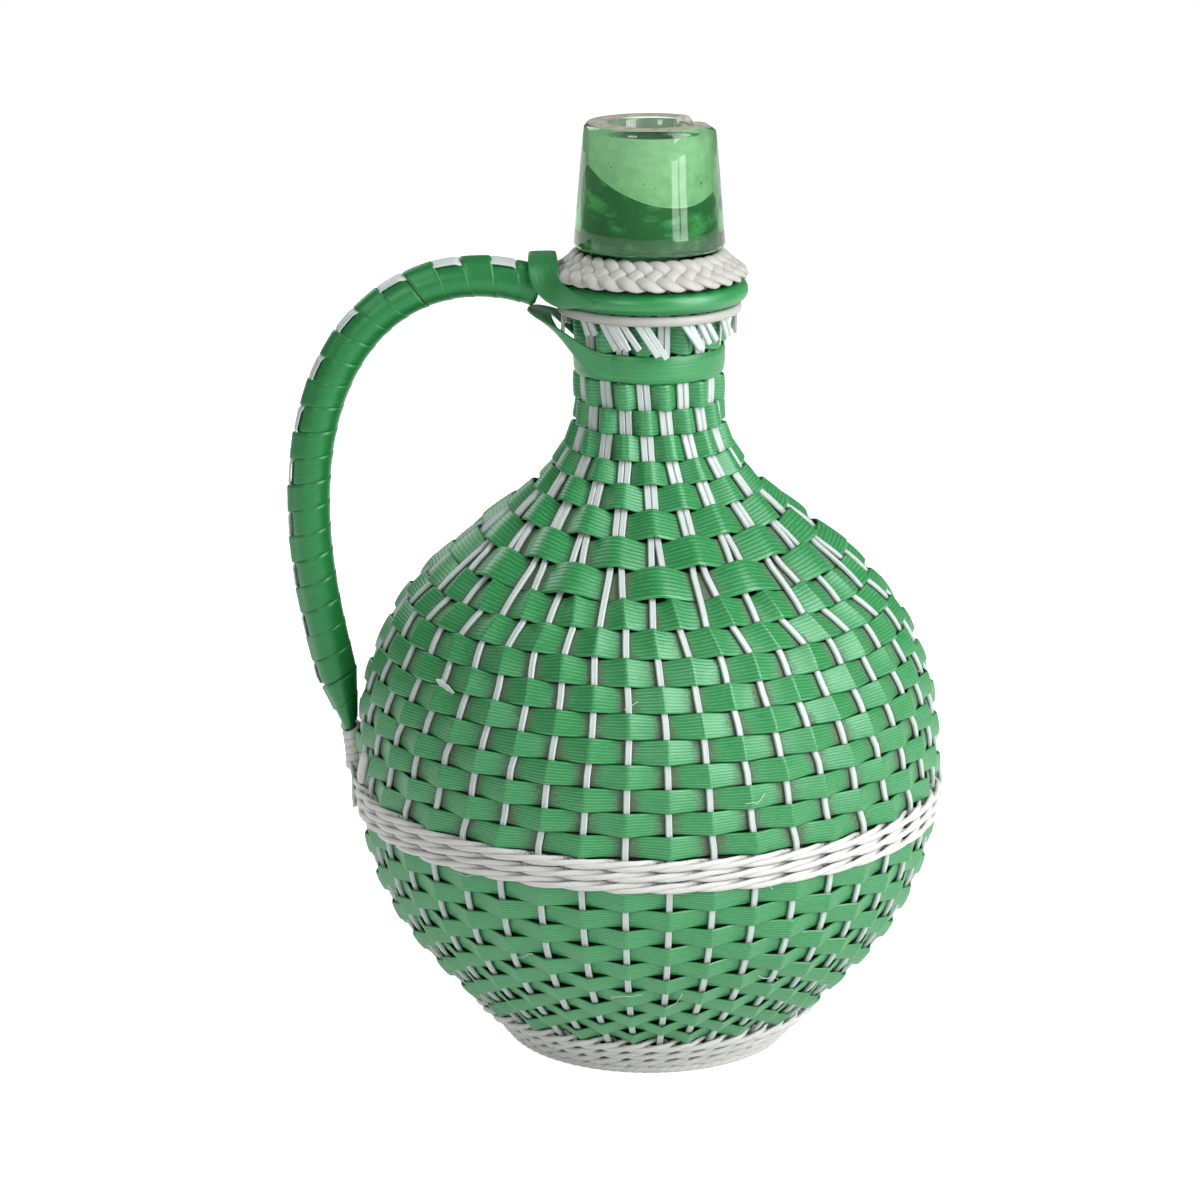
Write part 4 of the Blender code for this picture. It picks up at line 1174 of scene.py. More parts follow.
def chip_share(azimuth):
    """How much of the chip's depth the rim loses at an azimuth."""
    turn = np.degrees(azimuth)
    turn = np.where(turn > 180, turn - 360, turn)
    rise = np.clip((turn + 40) / 45, 0.0, 1.0)
    edge = np.clip((51 - turn) / 3.0, 0.0, 1.0)
    ripple = 0.85 + 0.15 * np.sin(np.radians(turn) * 9)
    return rise * rise * (3 - 2 * rise) * edge * ripple


class DEMIJOHN_OT_disc(Operator):
    """Give the woven disc under the bottle its finish"""

    bl_idname = "demijohn.disc"
    bl_label = "Base disc"

    def execute(self, context):
        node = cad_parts["base_disc"]
        node.data.materials.clear()
        node.data.materials.append(strand_look(context.scene))
        return {"FINISHED"}


# Jacket


def ribbon_section(jacket):
    """The ribbon's section: (share of its width, depth above its inner face)."""
    thick = jacket.ribbon_thickness
    across, depth = [0.0], [0.45 * thick]
    for rib in range(RIBS):
        if rib:
            across.append(rib / RIBS)
            depth.append(thick - jacket.rib_depth)
        across += [(rib + 0.20) / RIBS, (rib + 0.80) / RIBS]
        depth += [thick, thick]
    across.append(1.0)
    depth.append(0.45 * thick)
    depth[1] = depth[-2] = 0.9 * thick
    across += [0.97, 0.5, 0.03]
    depth += [0.0, 0.0, 0.0]
    across, depth = np.array(across), np.array(depth)
    return across, depth + jacket.ribbon_crown * (1 - (2 * across - 1) ** 2)


class Crossings:
    """Every crossing of one unbroken ribbon, in order, with what it goes over and under."""

    def __init__(self, scene, outline, stakes, levels, start_over, seed):
        jacket = scene.demijohn_jacket
        rng = np.random.default_rng(SEED + seed)
        self.across, self.section_depth = ribbon_section(jacket)
        level_runs = outline.run_at(np.asarray(levels))
        rows = len(levels) - 1
        azimuths, runs, over, reach, row_of, stake_of = [], [], [], [], [], []
        passes_over = start_over
        for row in range(rows):
            middle = (levels[row] + levels[row + 1]) / 2
            parts = stakes.parts(middle)
            for index, (group, members) in enumerate(parts):
                place = row + self.step_down(index, len(parts), row, rows)
                top = np.interp(place, np.arange(rows + 1), level_runs) - ROW_GAP / 2
                bottom = np.interp(place + 1, np.arange(rows + 1), level_runs) + ROW_GAP / 2
                run = top + (bottom - top) * self.across
                height = np.interp(run, outline.run, outline.height)
                each = [stakes.azimuth(group, member, height) for member in members]
                azimuths.append(np.mean(each, axis=0) + 2 * pi * row)
                runs.append(run)
                over.append(passes_over)
                half = (max(map(np.max, each)) - min(map(np.min, each))) / 2
                half_wide = 0.0
                if len(members) > 1:
                    half_wide = half * outline.place(run.mean(), stakes.outer)[0]
                reach.append(half_wide + stakes.width * (0.33 if passes_over else 0.5))
                row_of.append(row)
                stake_of.append([group[member] for member in members])
                passes_over = not passes_over
        self.azimuth, self.run = np.array(azimuths), np.array(runs)
        self.over, self.reach = np.array(over), np.array(reach)
        self.row, self.stakes = np.array(row_of), stake_of
        self.high = stakes.outer + RIBBON_CLEARANCE + jacket.stand_off
        self.low = stakes.inner - RIBBON_CLEARANCE - jacket.ribbon_thickness - jacket.ribbon_crown
        count = len(over)
        self.jitter_depth = rng.normal(0.0, JITTER_DEPTH, count)
        self.jitter_run = rng.normal(0.0, JITTER_RUN, count)
        self.jitter_turn = rng.normal(0.0, JITTER_TURN, count)

    @staticmethod
    def step_down(index, count, row, rows):
        """The ribbon slants down to its next row over the last strands at the back."""
        if index >= count - 2 and row < rows - 1:
            return (index - (count - 2)) / 3
        if index == 0 and row > 0:
            return -1 / 3
        return 0.0


def ribbon_grid(outline, crossings, first, last):
    """Grid of points of the ribbon between two of its crossings, with its dust marks."""
    part = slice(first, last + 1)
    azimuth, run = crossings.azimuth[part], crossings.run[part] + crossings.jitter_run[part][:, None]
    over, reach = crossings.over[part], crossings.reach[part]
    radius = outline.place(run[:, RIB_MIDDLE], crossings.high)[0]
    spacing = np.diff(azimuth[:, RIB_MIDDLE]) * (radius[:-1] + radius[1:]) / 2
    where = np.concatenate([[0.0], np.cumsum(spacing)])
    depth = np.where(over, crossings.high + crossings.jitter_depth[part], crossings.low)
    dense = np.arange(where[0] - RIBBON_PAST_END, where[-1] + RIBBON_PAST_END, RIBBON_SAMPLE)
    places, levels = [], []
    for index, centre in enumerate(where):
        if over[index] and reach[index] < WIDE_REACH:
            before = centre - where[index - 1] if index else END_FLANK
            after = where[index + 1] - centre if index < len(where) - 1 else END_FLANK
            drop = FLANK_DROP * (depth[index] - crossings.low)
            places += [centre - FLANK_PLACE * before, centre - CREST_HALF]
            places += [centre + CREST_HALF, centre + FLANK_PLACE * after]
            levels += [depth[index] - drop, depth[index], depth[index], depth[index] - drop]
        elif over[index]:
            inner, outer = 0.25 * reach[index], 1.05 * reach[index]
            places += [centre - outer, centre - inner, centre + inner, centre + outer]
            levels += [depth[index], depth[index] + WIDE_CROWN, depth[index] + WIDE_CROWN, depth[index]]
        else:
            places += [centre - reach[index], centre + reach[index]]
            levels += [depth[index], depth[index]]
    raw = np.interp(dense, places, levels)
    fine = softened(raw, 1.7)
    broad = softened(raw, 3.5)
    wide = np.interp(dense, where, (reach > WIDE_REACH).astype(float)) > 0.5
    shape = np.where(wide, broad, fine)
    ends = np.array(HUMP_SAMPLES)
    inset = np.where(reach > WIDE_REACH, reach * 0.5, 0.0)
    samples, left, share = [], [], []
    for index, gap in enumerate(spacing):
        near = ends * min(1.0, gap / FULL_SPACING) + inset[index]
        near[0] = 0.0
        far = ends[1:] * min(1.0, gap / FULL_SPACING) + inset[index + 1]
        places = np.unique(np.concatenate([near, [gap / 2], gap - far]))
        places = places[(places >= 0.0) & (places < gap - 1e-5)]
        samples.append(where[index] + places)
        left.append(np.full(len(places), index))
        share.append(places / gap)
    samples, left, share = (np.concatenate(part) for part in (samples, left, share))
    samples = np.append(samples, where[-1])
    left = np.append(left, len(spacing) - 1)
    share = np.append(share, 1.0)
    level = np.interp(samples, dense, shape)
    lift = np.clip((level - crossings.low) / (crossings.high - crossings.low), 0.0, 1.0)
    angle = azimuth[left] + (azimuth[left + 1] - azimuth[left]) * share[:, None]
    height = run[left] + (run[left + 1] - run[left]) * share[:, None]
    centre = height[:, RIB_MIDDLE : RIB_MIDDLE + 1]
    height = centre + (height - centre) * (1.01 + 0.06 * lift[:, None])
    tilt = np.interp(samples, where, crossings.jitter_turn[part])
    depths = level[:, None] + crossings.section_depth + tilt[:, None] * (2 * crossings.across - 1)
    points = outline.wrapped(angle, height, depths)
    # Dust gathers where the ribbon dives under the strands, more on the upper rows; the small share along
    # both edges of the ribbon is painted shade between the rows.
    edge = np.abs(2 * crossings.across - 1) ** 6
    settled = np.interp(outline.place(run[:, RIB_MIDDLE], 0.0)[1].mean(), [0.095, 0.125], [0.25, 1.0])
    dust = settled * (np.clip(1.0 - lift / DUST_LIFT, 0.0, 1.0)[:, None] ** 1.2 + 0.10 * edge[None, :])
    return points, samples, np.clip(dust, 0.0, 1.0)


def make_ribbon(outline, crossings, name, node, first, last, look):
    """One stretch of the woven ribbon as a piece."""
    points, along, dust = ribbon_grid(outline, crossings, first, last)
    piece = skin(name, points, along=along, across=crossings.across, dust=dust)
    return finish_piece(piece, look, "green_ribbon", node)


def all_crossings(scene, outline, stakes):
    """The crossings of the three woven ribbons."""
    neck_levels = [outline.neck_row_top, outline.neck_band_top + ROW_GAP]
    return {
        "upper": Crossings(scene, outline, stakes, outline.upper_levels, True, 1),
        "lower": Crossings(scene, outline, stakes, outline.lower_levels, True, 2),
        "neck": Crossings(scene, outline, stakes, neck_levels, False, 3),
    }


class DEMIJOHN_OT_weave(Operator):
    """Weave the green ribbons over and under the stakes"""

    bl_idname = "demijohn.weave"
    bl_label = "Woven ribbons"

    def execute(self, context):
        scene = context.scene
        outline = Outline(scene)
        stakes = Stakes(scene, outline)
        ribbons = all_crossings(scene, outline, stakes)
        look = ribbon_look(scene)
        for kind, cut_row in (("upper", UPPER_CUT_ROW), ("lower", LOWER_CUT_ROW)):
            crossings, node = ribbons[kind], f"weft_{kind}"
            cut = int(np.searchsorted(crossings.row, cut_row))
            last = len(crossings.row) - 1
            make_ribbon(outline, crossings, f"ribbon_{kind}_top", node, 0, cut, look)
            make_ribbon(outline, crossings, f"ribbon_{kind}_bottom", node, cut, last, look)
        neck = ribbons["neck"]
        make_ribbon(outline, neck, "ribbon_neck_row", "neck_weft", 0, len(neck.row) - 1, look)
        make_flake(scene, outline, ribbons["upper"].high)
        make_fibres(scene, outline, ribbons["lower"].high)
        return {"FINISHED"}


def make_flake(scene, outline, high):
    """A torn flake of strand that stands up from the shoulder."""
    azimuth, height = FLAKE
    share = np.linspace(-1.0, 1.0, 14)
    run = outline.run_at(height) - FLAKE_DROP * share
    turn = azimuth + FLAKE_TURN * share
    lift = high + 0.0018 + 0.0009 * share**2
    width = 0.0010 * np.sqrt(np.clip(1.0 - np.abs(share) ** 3, 0.03, 1.0))
    width *= (1.0 - 0.35 * share) * (1.0 + 0.14 * np.sin(9 * share))
    section = oval(1.0, 0.00022, points=10)[None] * np.stack([width, np.ones(14)], axis=-1)[:, None, :]
    grid = sweep(outline.wrapped(turn, run, lift), outline.outward(turn, run), section)
    piece = skin("torn_flake", grid, along=share * 0.004, dust=0.1)
    finish_piece(piece, strand_look(scene), "white_strand", "weft_upper")


def make_fibres(scene, outline, high):
    """Loose fibres that cling to the ribbons."""
    rng = np.random.default_rng(SEED + 70)
    for index, (degrees, height, long, lean) in enumerate(FIBRES):
        share = np.linspace(0.0, 1.0, 16)
        bend = softened(rng.normal(0.0, 0.0022, 16), 2.2)
        run = outline.run_at(height) + long * share * cos(radians(lean)) + bend * sin(radians(lean))
        beside = long * share * sin(radians(lean)) + bend * cos(radians(lean))
        radius, _ = outline.place(run, high)
        turn = radians(degrees) + beside / radius
        path = outline.wrapped(turn, run, high + 0.0011 + 0.0004 * np.sin(pi * share))
        grid = sweep(path, outline.outward(turn, run), oval(0.00013, 0.00011, points=6))
        piece = skin(f"fibre_{index + 1}", grid, along=share * long, dust=0.0)
        node = "weft_lower" if height < outline.band_bottom else "weft_upper"
        finish_piece(piece, strand_look(scene), "white_strand", node)


def stake_section(jacket):
    """An upright strand's section: flat inside, three low ridges outside."""
    half, thick = jacket.stake_width / 2, jacket.stake_thickness / 2
    shape = [
        (-0.90, -0.85), (-0.35, -1.0), (0.35, -1.0), (0.90, -0.85), (1.0, 0.0), (0.86, 0.72),
        (0.62, 0.98), (0.36, 0.80), (0.0, 1.05), (-0.36, 0.80), (-0.62, 0.98), (-0.86, 0.72), (-1.0, 0.0),
    ]
    return np.array([(x * half, y * thick) for x, y in shape])


class DEMIJOHN_OT_stakes(Operator):
    """Make the white upright strands, one piece each"""

    bl_idname = "demijohn.stakes"
    bl_label = "Stakes"

    def execute(self, context):
        scene = context.scene
        outline = Outline(scene)
        stakes = Stakes(scene, outline)
        crossed = {stake: [] for stake in range(stakes.count)}
        for crossings in all_crossings(scene, outline, stakes).values():
            for run, over, members in zip(crossings.run[:, RIB_MIDDLE], crossings.over, crossings.stakes):
                for stake in members:
                    crossed[stake].append((run, SWAY_UNDER if over else SWAY_OVER))
        look = strand_look(scene)
        section = stake_section(scene.demijohn_jacket)
        top = outline.run_at(outline.green_ring_top)
        runs = np.arange(0.0, top, STAKE_STEP)
        height = np.interp(runs, outline.run, outline.height)
        for group in stakes.groups:
            for member, stake in enumerate(group):
                azimuth = stakes.azimuth(group, member, height)
                keys = sorted(crossed[stake])
                sway = np.interp(runs, [key[0] for key in keys], [key[1] for key in keys])
                dust = np.clip((0.0001 - sway) / 0.0005, 0.0, 1.0)
                depth = (stakes.inner + stakes.outer) / 2 + sway
                path = outline.wrapped(azimuth, runs, depth)
                grid = sweep(path, outline.outward(azimuth, runs), section)
                piece = skin(f"upright_{stake + 1:02d}", grid, along=runs, dust=dust[:, None] * 0.7 + 0.05)
                finish_piece(piece, look, "white_strand", f"stake_{stake + 1:02d}")
        return {"FINISHED"}


def wale(scene, outline, stakes, name, node, run, row, depth, proud, look, seed, half_wide, per_stake=9):
    """One round of three-rod twining: a closed strand that goes round three times."""
    jacket = scene.demijohn_jacket
    rng = np.random.default_rng(SEED + seed)
    total = 3 * stakes.count
    place = np.arange(total * per_stake) / per_stake
    phase = place % 3.0
    rise = np.interp(phase, [0.0, 0.45, 1.0, 2.0, 2.55, 3.0], [0.0, -0.44, -0.5, 0.5, 0.44, 0.0])
    out = np.interp(phase, [0.0, 0.25, 0.8, 1.5, 2.2, 2.75, 3.0], [-1.0, -0.8, 0.1, 0.75, 0.1, -0.8, -1.0])
    rise = np.tile(rise, 3)
    rise = softened(rise, per_stake * 0.13)[len(place) : 2 * len(place)]
    out = softened(np.tile(out, 3), per_stake * 0.10)[len(place) : 2 * len(place)]
    wobble = softened(np.tile(np.repeat(rng.normal(0.0, 1.0, total), per_stake), 3), per_stake * 0.6)
    wobble = wobble[len(place) : 2 * len(place)]
    azimuth = stakes.even(place)
    runs = run + rise * row + wobble * WOBBLE
    half = jacket.band_strand_thickness / 2
    low = stakes.inner - 0.0001 - half
    depths = depth + np.where(out > 0, out * proud, out * (depth - low))
    path = outline.wrapped(azimuth, runs, depths)
    section = oval(half_wide, half, points=14, power=0.9)
    grid = sweep(path, outline.outward(azimuth, runs), section, closed=True)
    dust = np.clip(-out * 1.1, 0.0, 1.0)[:, None] + 0.02
    piece = skin(name, grid, closed=True, along=place * stakes.step * 0.1, dust=np.clip(dust, 0.0, 1.0))
    return finish_piece(piece, look, "white_strand", node)


class DEMIJOHN_OT_bands(Operator):
    """Twine the white bands round the belly and the foot"""

    bl_idname = "demijohn.bands"
    bl_label = "Twined bands"

    def execute(self, context):
        scene = context.scene
        outline = Outline(scene)
        stakes = Stakes(scene, outline)
        look = band_look(scene)
        half = scene.demijohn_jacket.band_strand_thickness / 2
        top, bottom = outline.run_at(outline.band_top), outline.run_at(outline.band_bottom)
        row = (top - bottom) / (2 * BELLY_WALES)
        depth = stakes.outer + 0.0002 + half
        for index in range(BELLY_WALES):
            name, run = f"belly_wale_{index + 1}", top - (2 * index + 1) * row
            wale(
                scene, outline, stakes, name, "belly_band", run, row, depth, BELLY_PROUD, look, 30 + index,
                BELLY_STRAND_HALF,
            )
        top = outline.run_at(FOOT_BAND_HEIGHT)
        row = top / FOOT_WALE_HALVES
        for index in range(FOOT_WALES):
            name, run = f"foot_wale_{index + 1}", top - (2 * index + 1) * row
            wale(
                scene, outline, stakes, name, "base_band", run, row, depth, FOOT_PROUD, look, 40 + index,
                FOOT_STRAND_HALF,
            )
        make_foot_border(outline, look)
        return {"FINISHED"}


def rope_ring(name, radius, height, lay, half, strands, twists, look, slot_name, node):
    """A twisted rope laid in a ring: one closed strand that goes round once for each of its strands."""
    count = 60 * strands * 6
    turn = np.arange(count) / count * strands
    azimuth = 2 * pi * turn
    phase = 2 * pi * (twists + 1 / strands) * turn
    path = turned_point(azimuth, radius + lay * np.cos(phase), height + lay * np.sin(phase))
    outward = turned_point(azimuth, np.cos(phase), np.sin(phase))
    grid = sweep(path, outward, oval(half * 1.25, half, points=12, power=0.85), closed=True)
    hidden = np.clip(-np.cos(phase) * 0.8, 0.0, 1.0)[:, None] + 0.08
    piece = skin(name, grid, closed=True, along=azimuth * radius, dust=np.clip(hidden, 0, 1))
    return finish_piece(piece, look, slot_name, node)


def make_foot_border(outline, look):
    """The rolled border that the jacket stands on."""
    radius, _ = outline.place(0.0, 0.0034)
    node = "base_band"
    rope_ring("foot_border", radius - 0.0003, 0.0024, 0.0011, 0.00125, 3, 27, look, "white_strand", node)


# Neck


def ring_of_section(name, azimuth, sections, look, slot_name, node, along_radius=0.03, dust=0.05):
    """A ring whose (radius, height) section may change with the azimuth."""
    grid = turned_point(azimuth[:, None], sections[..., 0], sections[..., 1])
    piece = skin(name, grid, closed=True, along=azimuth * along_radius, dust=dust)
    return finish_piece(piece, look, slot_name, node)


class DEMIJOHN_OT_rings(Operator):
    """Make the neck band, the white ring with its cut ends, and the green ring"""

    bl_idname = "demijohn.rings"
    bl_label = "Neck rings"

    def execute(self, context):
        scene = context.scene
        outline = Outline(scene)
        stakes = Stakes(scene, outline)
        make_neck_band(scene, outline, stakes)
        make_white_ring(scene, outline)
        make_green_ring(scene, outline)
        return {"FINISHED"}


def make_neck_band(scene, outline, stakes):
    """The broad ribbed ribbon drawn round the neck."""
    rings = scene.demijohn_rings
    azimuth = 2 * pi * np.arange(180) / 180
    share = np.linspace(0.0, 1.0, 31)
    thick = rings.neck_band_thickness
    crown = thick * (0.55 + 0.45 * (1 - (2 * share - 1) ** 4))
    groove = 0.00012 * (np.abs(np.sin(pi * NECK_BAND_RIBS * share)) ** 0.4 - 1.0)
    near = stakes.outer + 0.00035
    top, bottom = outline.run_at(outline.neck_band_top), outline.run_at(outline.weave_top + GAP)
    inner = [bottom + 0.0002, (top + bottom) / 2, top - 0.0002]
    runs = np.concatenate([top + (bottom - top) * share, inner])
    depth = np.concatenate([near + crown + groove, [near, near, near]])
    radius, height = outline.place(runs, depth)
    sway = 0.0002 * np.sin(3 * azimuth + 1.0) + 0.00015 * np.sin(5 * azimuth)
    sections = ring_sections(azimuth, radius, height[None, :] + sway[:, None])
    look = plain_ribbon_look(scene)
    ring_of_section("neck_ribbon", azimuth, sections, look, "green_ribbon", "neck_band")


def make_white_ring(scene, outline):
    """The white strand round the neck, and the jacket's cut ends under it."""
    rings = scene.demijohn_rings
    rng = np.random.default_rng(SEED + 50)
    look = strand_look(scene)
    half = rings.white_ring_size / 2
    bottom = outline.neck_row_top + GAP
    azimuth = 2 * pi * np.arange(160) / 160
    sway = 0.0002 * np.sin(2 * azimuth + 0.6) + 0.00012 * np.sin(7 * azimuth)
    section = oval(half * 1.18, half, points=16, power=0.9, ridges=0.00005, count=3)
    radius = rings.white_ring_radius + section[:, 1]
    height = bottom + half - WHITE_RING_DROP + section[:, 0]
    sections = ring_sections(azimuth, radius, height[None, :] + sway[:, None] * 0.4)
    node = "neck_ring_white"
    ring_of_section("white_ring", azimuth, sections, neck_look(scene), "white_strand", node, dust=0.12)
    grids = []
    for turned, long, slant in CUT_ENDS:
        for side in (-0.5, 0.5):
            length_here = long + rng.normal(0.0, 0.0006)
            lean = radians(slant) + rng.normal(0.0, 0.05)
            start = radians(turned - 90.0) + side * CUT_END_APART / rings.white_ring_radius
            steps = np.linspace(CUT_END_START, length_here, 7)
            turn = start + steps * sin(lean) / rings.white_ring_radius
            out = rings.white_ring_radius - 0.0006 + 0.02 * steps + rng.normal(0.0, 0.0002)
            path = turned_point(turn, out, bottom - steps * cos(lean))
            outward = turned_point(turn, np.ones_like(turn), np.zeros_like(turn))
            grids.append((sweep(path, outward, stake_section(scene.demijohn_jacket)), steps))
    for index, (grid, steps) in enumerate(grids):
        piece = skin(f"cut_end_{index + 1:02d}", grid, along=steps + index, dust=0.08)
        finish_piece(piece, look, "white_strand", node)


def make_green_ring(scene, outline):
    """The thick green ring, finely ridged along its length."""
    rings = scene.demijohn_rings
    half = rings.green_ring_size / 2
    middle = outline.white_ring_top + GAP + half
    azimuth = 2 * pi * np.arange(200) / 200
    angle = 2 * pi * np.arange(40) / 40
    size = half * (1.0 + 0.012 * np.cos(20 * angle))
    radius = rings.green_ring_radius + size * np.cos(angle)
    height = middle + size * np.sin(angle) * 0.99
    sections = ring_sections(azimuth, radius, height)
    look = plain_ribbon_look(scene)
    ring_of_section("green_ring", azimuth, sections, look, "green_ribbon", "neck_ring_green")


class DEMIJOHN_OT_plait(Operator):
    """Plait the white border under the collar"""

    bl_idname = "demijohn.plait"
    bl_label = "Plait"

    def execute(self, context):
        scene = context.scene
        outline = Outline(scene)
        rings = scene.demijohn_rings
        count = (PLAIT_STRANDS * PLAIT_WAVES + 1) * 4 * 12
        turn = np.arange(count) / count * PLAIT_STRANDS
        azimuth = -2 * pi * turn
        phase = 2 * pi * (PLAIT_WAVES + 1 / PLAIT_STRANDS) * turn
        tilt = PLAIT_TILT
        middle_radius = (rings.plait_radius + scene.demijohn_bottle.neck_top_radius) / 2 - 0.0002
        middle_height = outline.green_ring_top + GAP + rings.plait_height / 2
        aside = PLAIT_SWING * np.cos(phase)
        up = np.interp(np.degrees(phase) % 360.0, np.arange(9) * 45.0, PLAIT_LEVELS)
        up = PLAIT_LIFT * softened(np.tile(up, 3), 2.6)[count : 2 * count]
        radius = middle_radius + aside * cos(tilt) + up * sin(tilt)
        height = middle_height - aside * sin(tilt) + up * cos(tilt)
        path = turned_point(azimuth, radius, height)
        outward = turned_point(azimuth, np.full(count, sin(tilt)), np.full(count, cos(tilt)))
        section = oval(rings.plait_strand / 2, PLAIT_STRAND_HALF, points=14, power=0.95)
        grid = sweep(path, outward, section, closed=True)
        dust = np.clip(0.3 - 0.8 * up / PLAIT_LIFT, 0.0, 1.0)[:, None] * 0.6
        piece = skin("plait", grid, closed=True, along=azimuth * middle_radius, dust=dust)
        finish_piece(piece, neck_look(scene), "white_strand", "neck_braid")
        return {"FINISHED"}


# Handle


class HandlePath:
    """The handle's centre line, in the plane through the axis on the -X side."""

    def __init__(self, scene, outline):
        rings, handle = scene.demijohn_rings, scene.demijohn_handle
        self.core_radius = handle.core_radius
        tilt = handle.core_radius * HANDLE_TOP_RISE / np.hypot(HANDLE_TOP_REACH, HANDLE_TOP_RISE)
        ring = max(rings.green_ring_radius + rings.green_ring_size / 2, rings.plait_radius)
        start = (ring + 2 * GAP + tilt, outline.green_ring_top - rings.green_ring_size / 2)
        mid = (handle.reach, handle.mid_height)
        foot = (HANDLE_FOOT_SEAT + HANDLE_TONGUE_THICKNESS / 2, outline.band_top + GAP)
        upper = bezier(
            start,
            (start[0] + HANDLE_TOP_REACH, start[1] + HANDLE_TOP_RISE),
            (handle.reach, handle.mid_height + HANDLE_SHOULDER_REACH),
            mid,
        )
        lower = bezier(
            mid,
            (handle.reach, handle.mid_height - HANDLE_LOWER_REACH),
            (foot[0] + HANDLE_FOOT_FLARE, foot[1] + HANDLE_FOOT_REACH),
            foot,
        )
        self.points = np.vstack([upper, lower[1:]])
        self.runs = runs_of(self.points)
        self.length = self.runs[-1]
        self.ahead = unit(np.gradient(self.points, axis=0))

    def spot(self, run):
        """Centre (radius, height) and direction at distances along the handle."""
        centre = np.stack([np.interp(run, self.runs, self.points[:, axis]) for axis in (0, 1)], axis=-1)
        ahead = np.stack([np.interp(run, self.runs, self.ahead[:, axis]) for axis in (0, 1)], axis=-1)
        return centre, unit(ahead)

    def point(self, run, out, aside):
        """Points beside the centre line: out is away from the bottle, aside is along Y."""
        run, out, aside = np.broadcast_arrays(run, out, aside)
        centre, ahead = self.spot(run)
        radius = centre[..., 0] - ahead[..., 1] * out
        height = centre[..., 1] + ahead[..., 0] * out
        return np.stack([-radius, aside, height], axis=-1)

    def core(self, run):
        """Half thickness and half width of the core, flattened towards its foot."""
        start = self.length - HANDLE_TAPER_LENGTH
        end = self.length - HANDLE_TONGUE_LENGTH
        share = np.clip((run - start) / (end - start), 0.0, 1.0)
        thick = self.core_radius + (HANDLE_TONGUE_THICKNESS / 2 - self.core_radius) * share
        wide = self.core_radius + (HANDLE_TONGUE_WIDTH / 2 - self.core_radius) * share
        return thick, wide


def make_core(scene, path):
    """The handle's stiff core."""
    run = np.linspace(0.0, path.length, 140)
    angle = 2 * pi * np.arange(24) / 24
    thick, wide = path.core(run)
    out = (thick - CORE_CLEARANCE)[:, None] * np.cos(angle)
    aside = (wide - CORE_CLEARANCE)[:, None] * np.sin(angle)
    grid = path.point(run[:, None], out, aside)
    piece = skin("handle_rod", grid, along=run, dust=0.6)
    finish_piece(piece, core_look(scene), "grey_core", "handle_core")


def strip_turn(path, run):
    """How far the strip lies from the handle's outer side, towards +Y."""
    return np.radians(np.interp(run / path.length, [0.0, 0.40, 0.65, 1.0], [-27.0, -14.0, 4.0, 25.0]))


def wrap_level(angle, over_every=2):
    """Height of the winding above the core: raised where it passes over the strip."""
    turn = np.floor(angle / (2 * pi) + 0.5)
    beside = np.abs(angle / (2 * pi) - turn) * 2 * pi
    over = (turn % over_every) == 0
    return np.where(over, np.exp(-(beside / 0.42) ** 4), 0.0)


class DEMIJOHN_OT_handle(Operator):
    """Make the handle: core, winding, white strip and foot lashing"""

    bl_idname = "demijohn.handle"
    bl_label = "Handle"

    def execute(self, context):
        scene = context.scene
        outline = Outline(scene)
        stakes = Stakes(scene, outline)
        path = HandlePath(scene, outline)
        make_core(scene, path)
        make_winding(scene, path)
        make_strip(scene, path)
        make_lashing(scene, outline, stakes, path)
        make_tie(scene)
        make_blade(scene)
        return {"FINISHED"}


def make_winding(scene, path):
    """The green ribbon wound round the core, each turn lapped on the one before."""
    handle = scene.demijohn_handle
    rng = np.random.default_rng(SEED + 60)
    pitch = handle.wrap_pitch
    usable = path.length - HANDLE_TONGUE_LENGTH - WRAP_END
    turns = int(usable / pitch)
    per_turn = 36
    angle = (np.arange((turns + 1) * per_turn + 1) / per_turn - 1.0) * 2 * pi
    half = pitch * WRAP_HALF
    middle = half + WRAP_START + np.maximum(angle, 0.0) / (2 * pi) * pitch
    wander = np.interp(angle, 2 * pi * np.arange(turns + 1), rng.normal(0.0, 0.00035, turns + 1))
    middle = np.clip(middle + wander, 0.0, usable - half * 0.6)
    share = np.linspace(-1.0, 1.0, 15)
    outer = 0.00095 + 0.00012 * (1 - share**4) + 0.00005 * np.cos(pi * 7 * share)
    along = np.concatenate([share, [0.96, 0.0, -0.96]]) * half
    height = np.concatenate([outer, [0.0001, 0.0001, 0.0001]])
    height[0] = height[14] = 0.0005
    lap = np.concatenate([np.clip(-share, 0, 1) ** 1.5, [0.0, 0.0, 0.9]]) * WRAP_LAP
    run = middle[:, None] + along[None, :]
    thick, wide = path.core(run)
    lift = wrap_level(angle - strip_turn(path, middle))[:, None] * WRAP_LIFT
    lift = lift + np.minimum(angle, 0.0)[:, None] * 0.00004
    flat = 1.0 - 0.02 * np.abs(np.sin(angle[:, None] * 1.5))
    out = (thick * flat + height + lap + lift) * np.cos(angle)[:, None]
    aside = (wide * flat + height + lap + lift) * np.sin(angle)[:, None]
    grid = path.point(run, out, aside)
    dust = 0.10 + 0.5 * np.abs(along / half)[None, :] ** 8 + 0 * run
    across = np.linspace(0.0, 1.0, len(along))
    piece = skin("handle_winding", grid, along=angle * path.core_radius, across=across, dust=dust)
    look = ribbon_look(scene, "ribbon_wound", 0.6, 0.0, 0.06, True)
    finish_piece(piece, look, "green_ribbon", "handle_wrap")


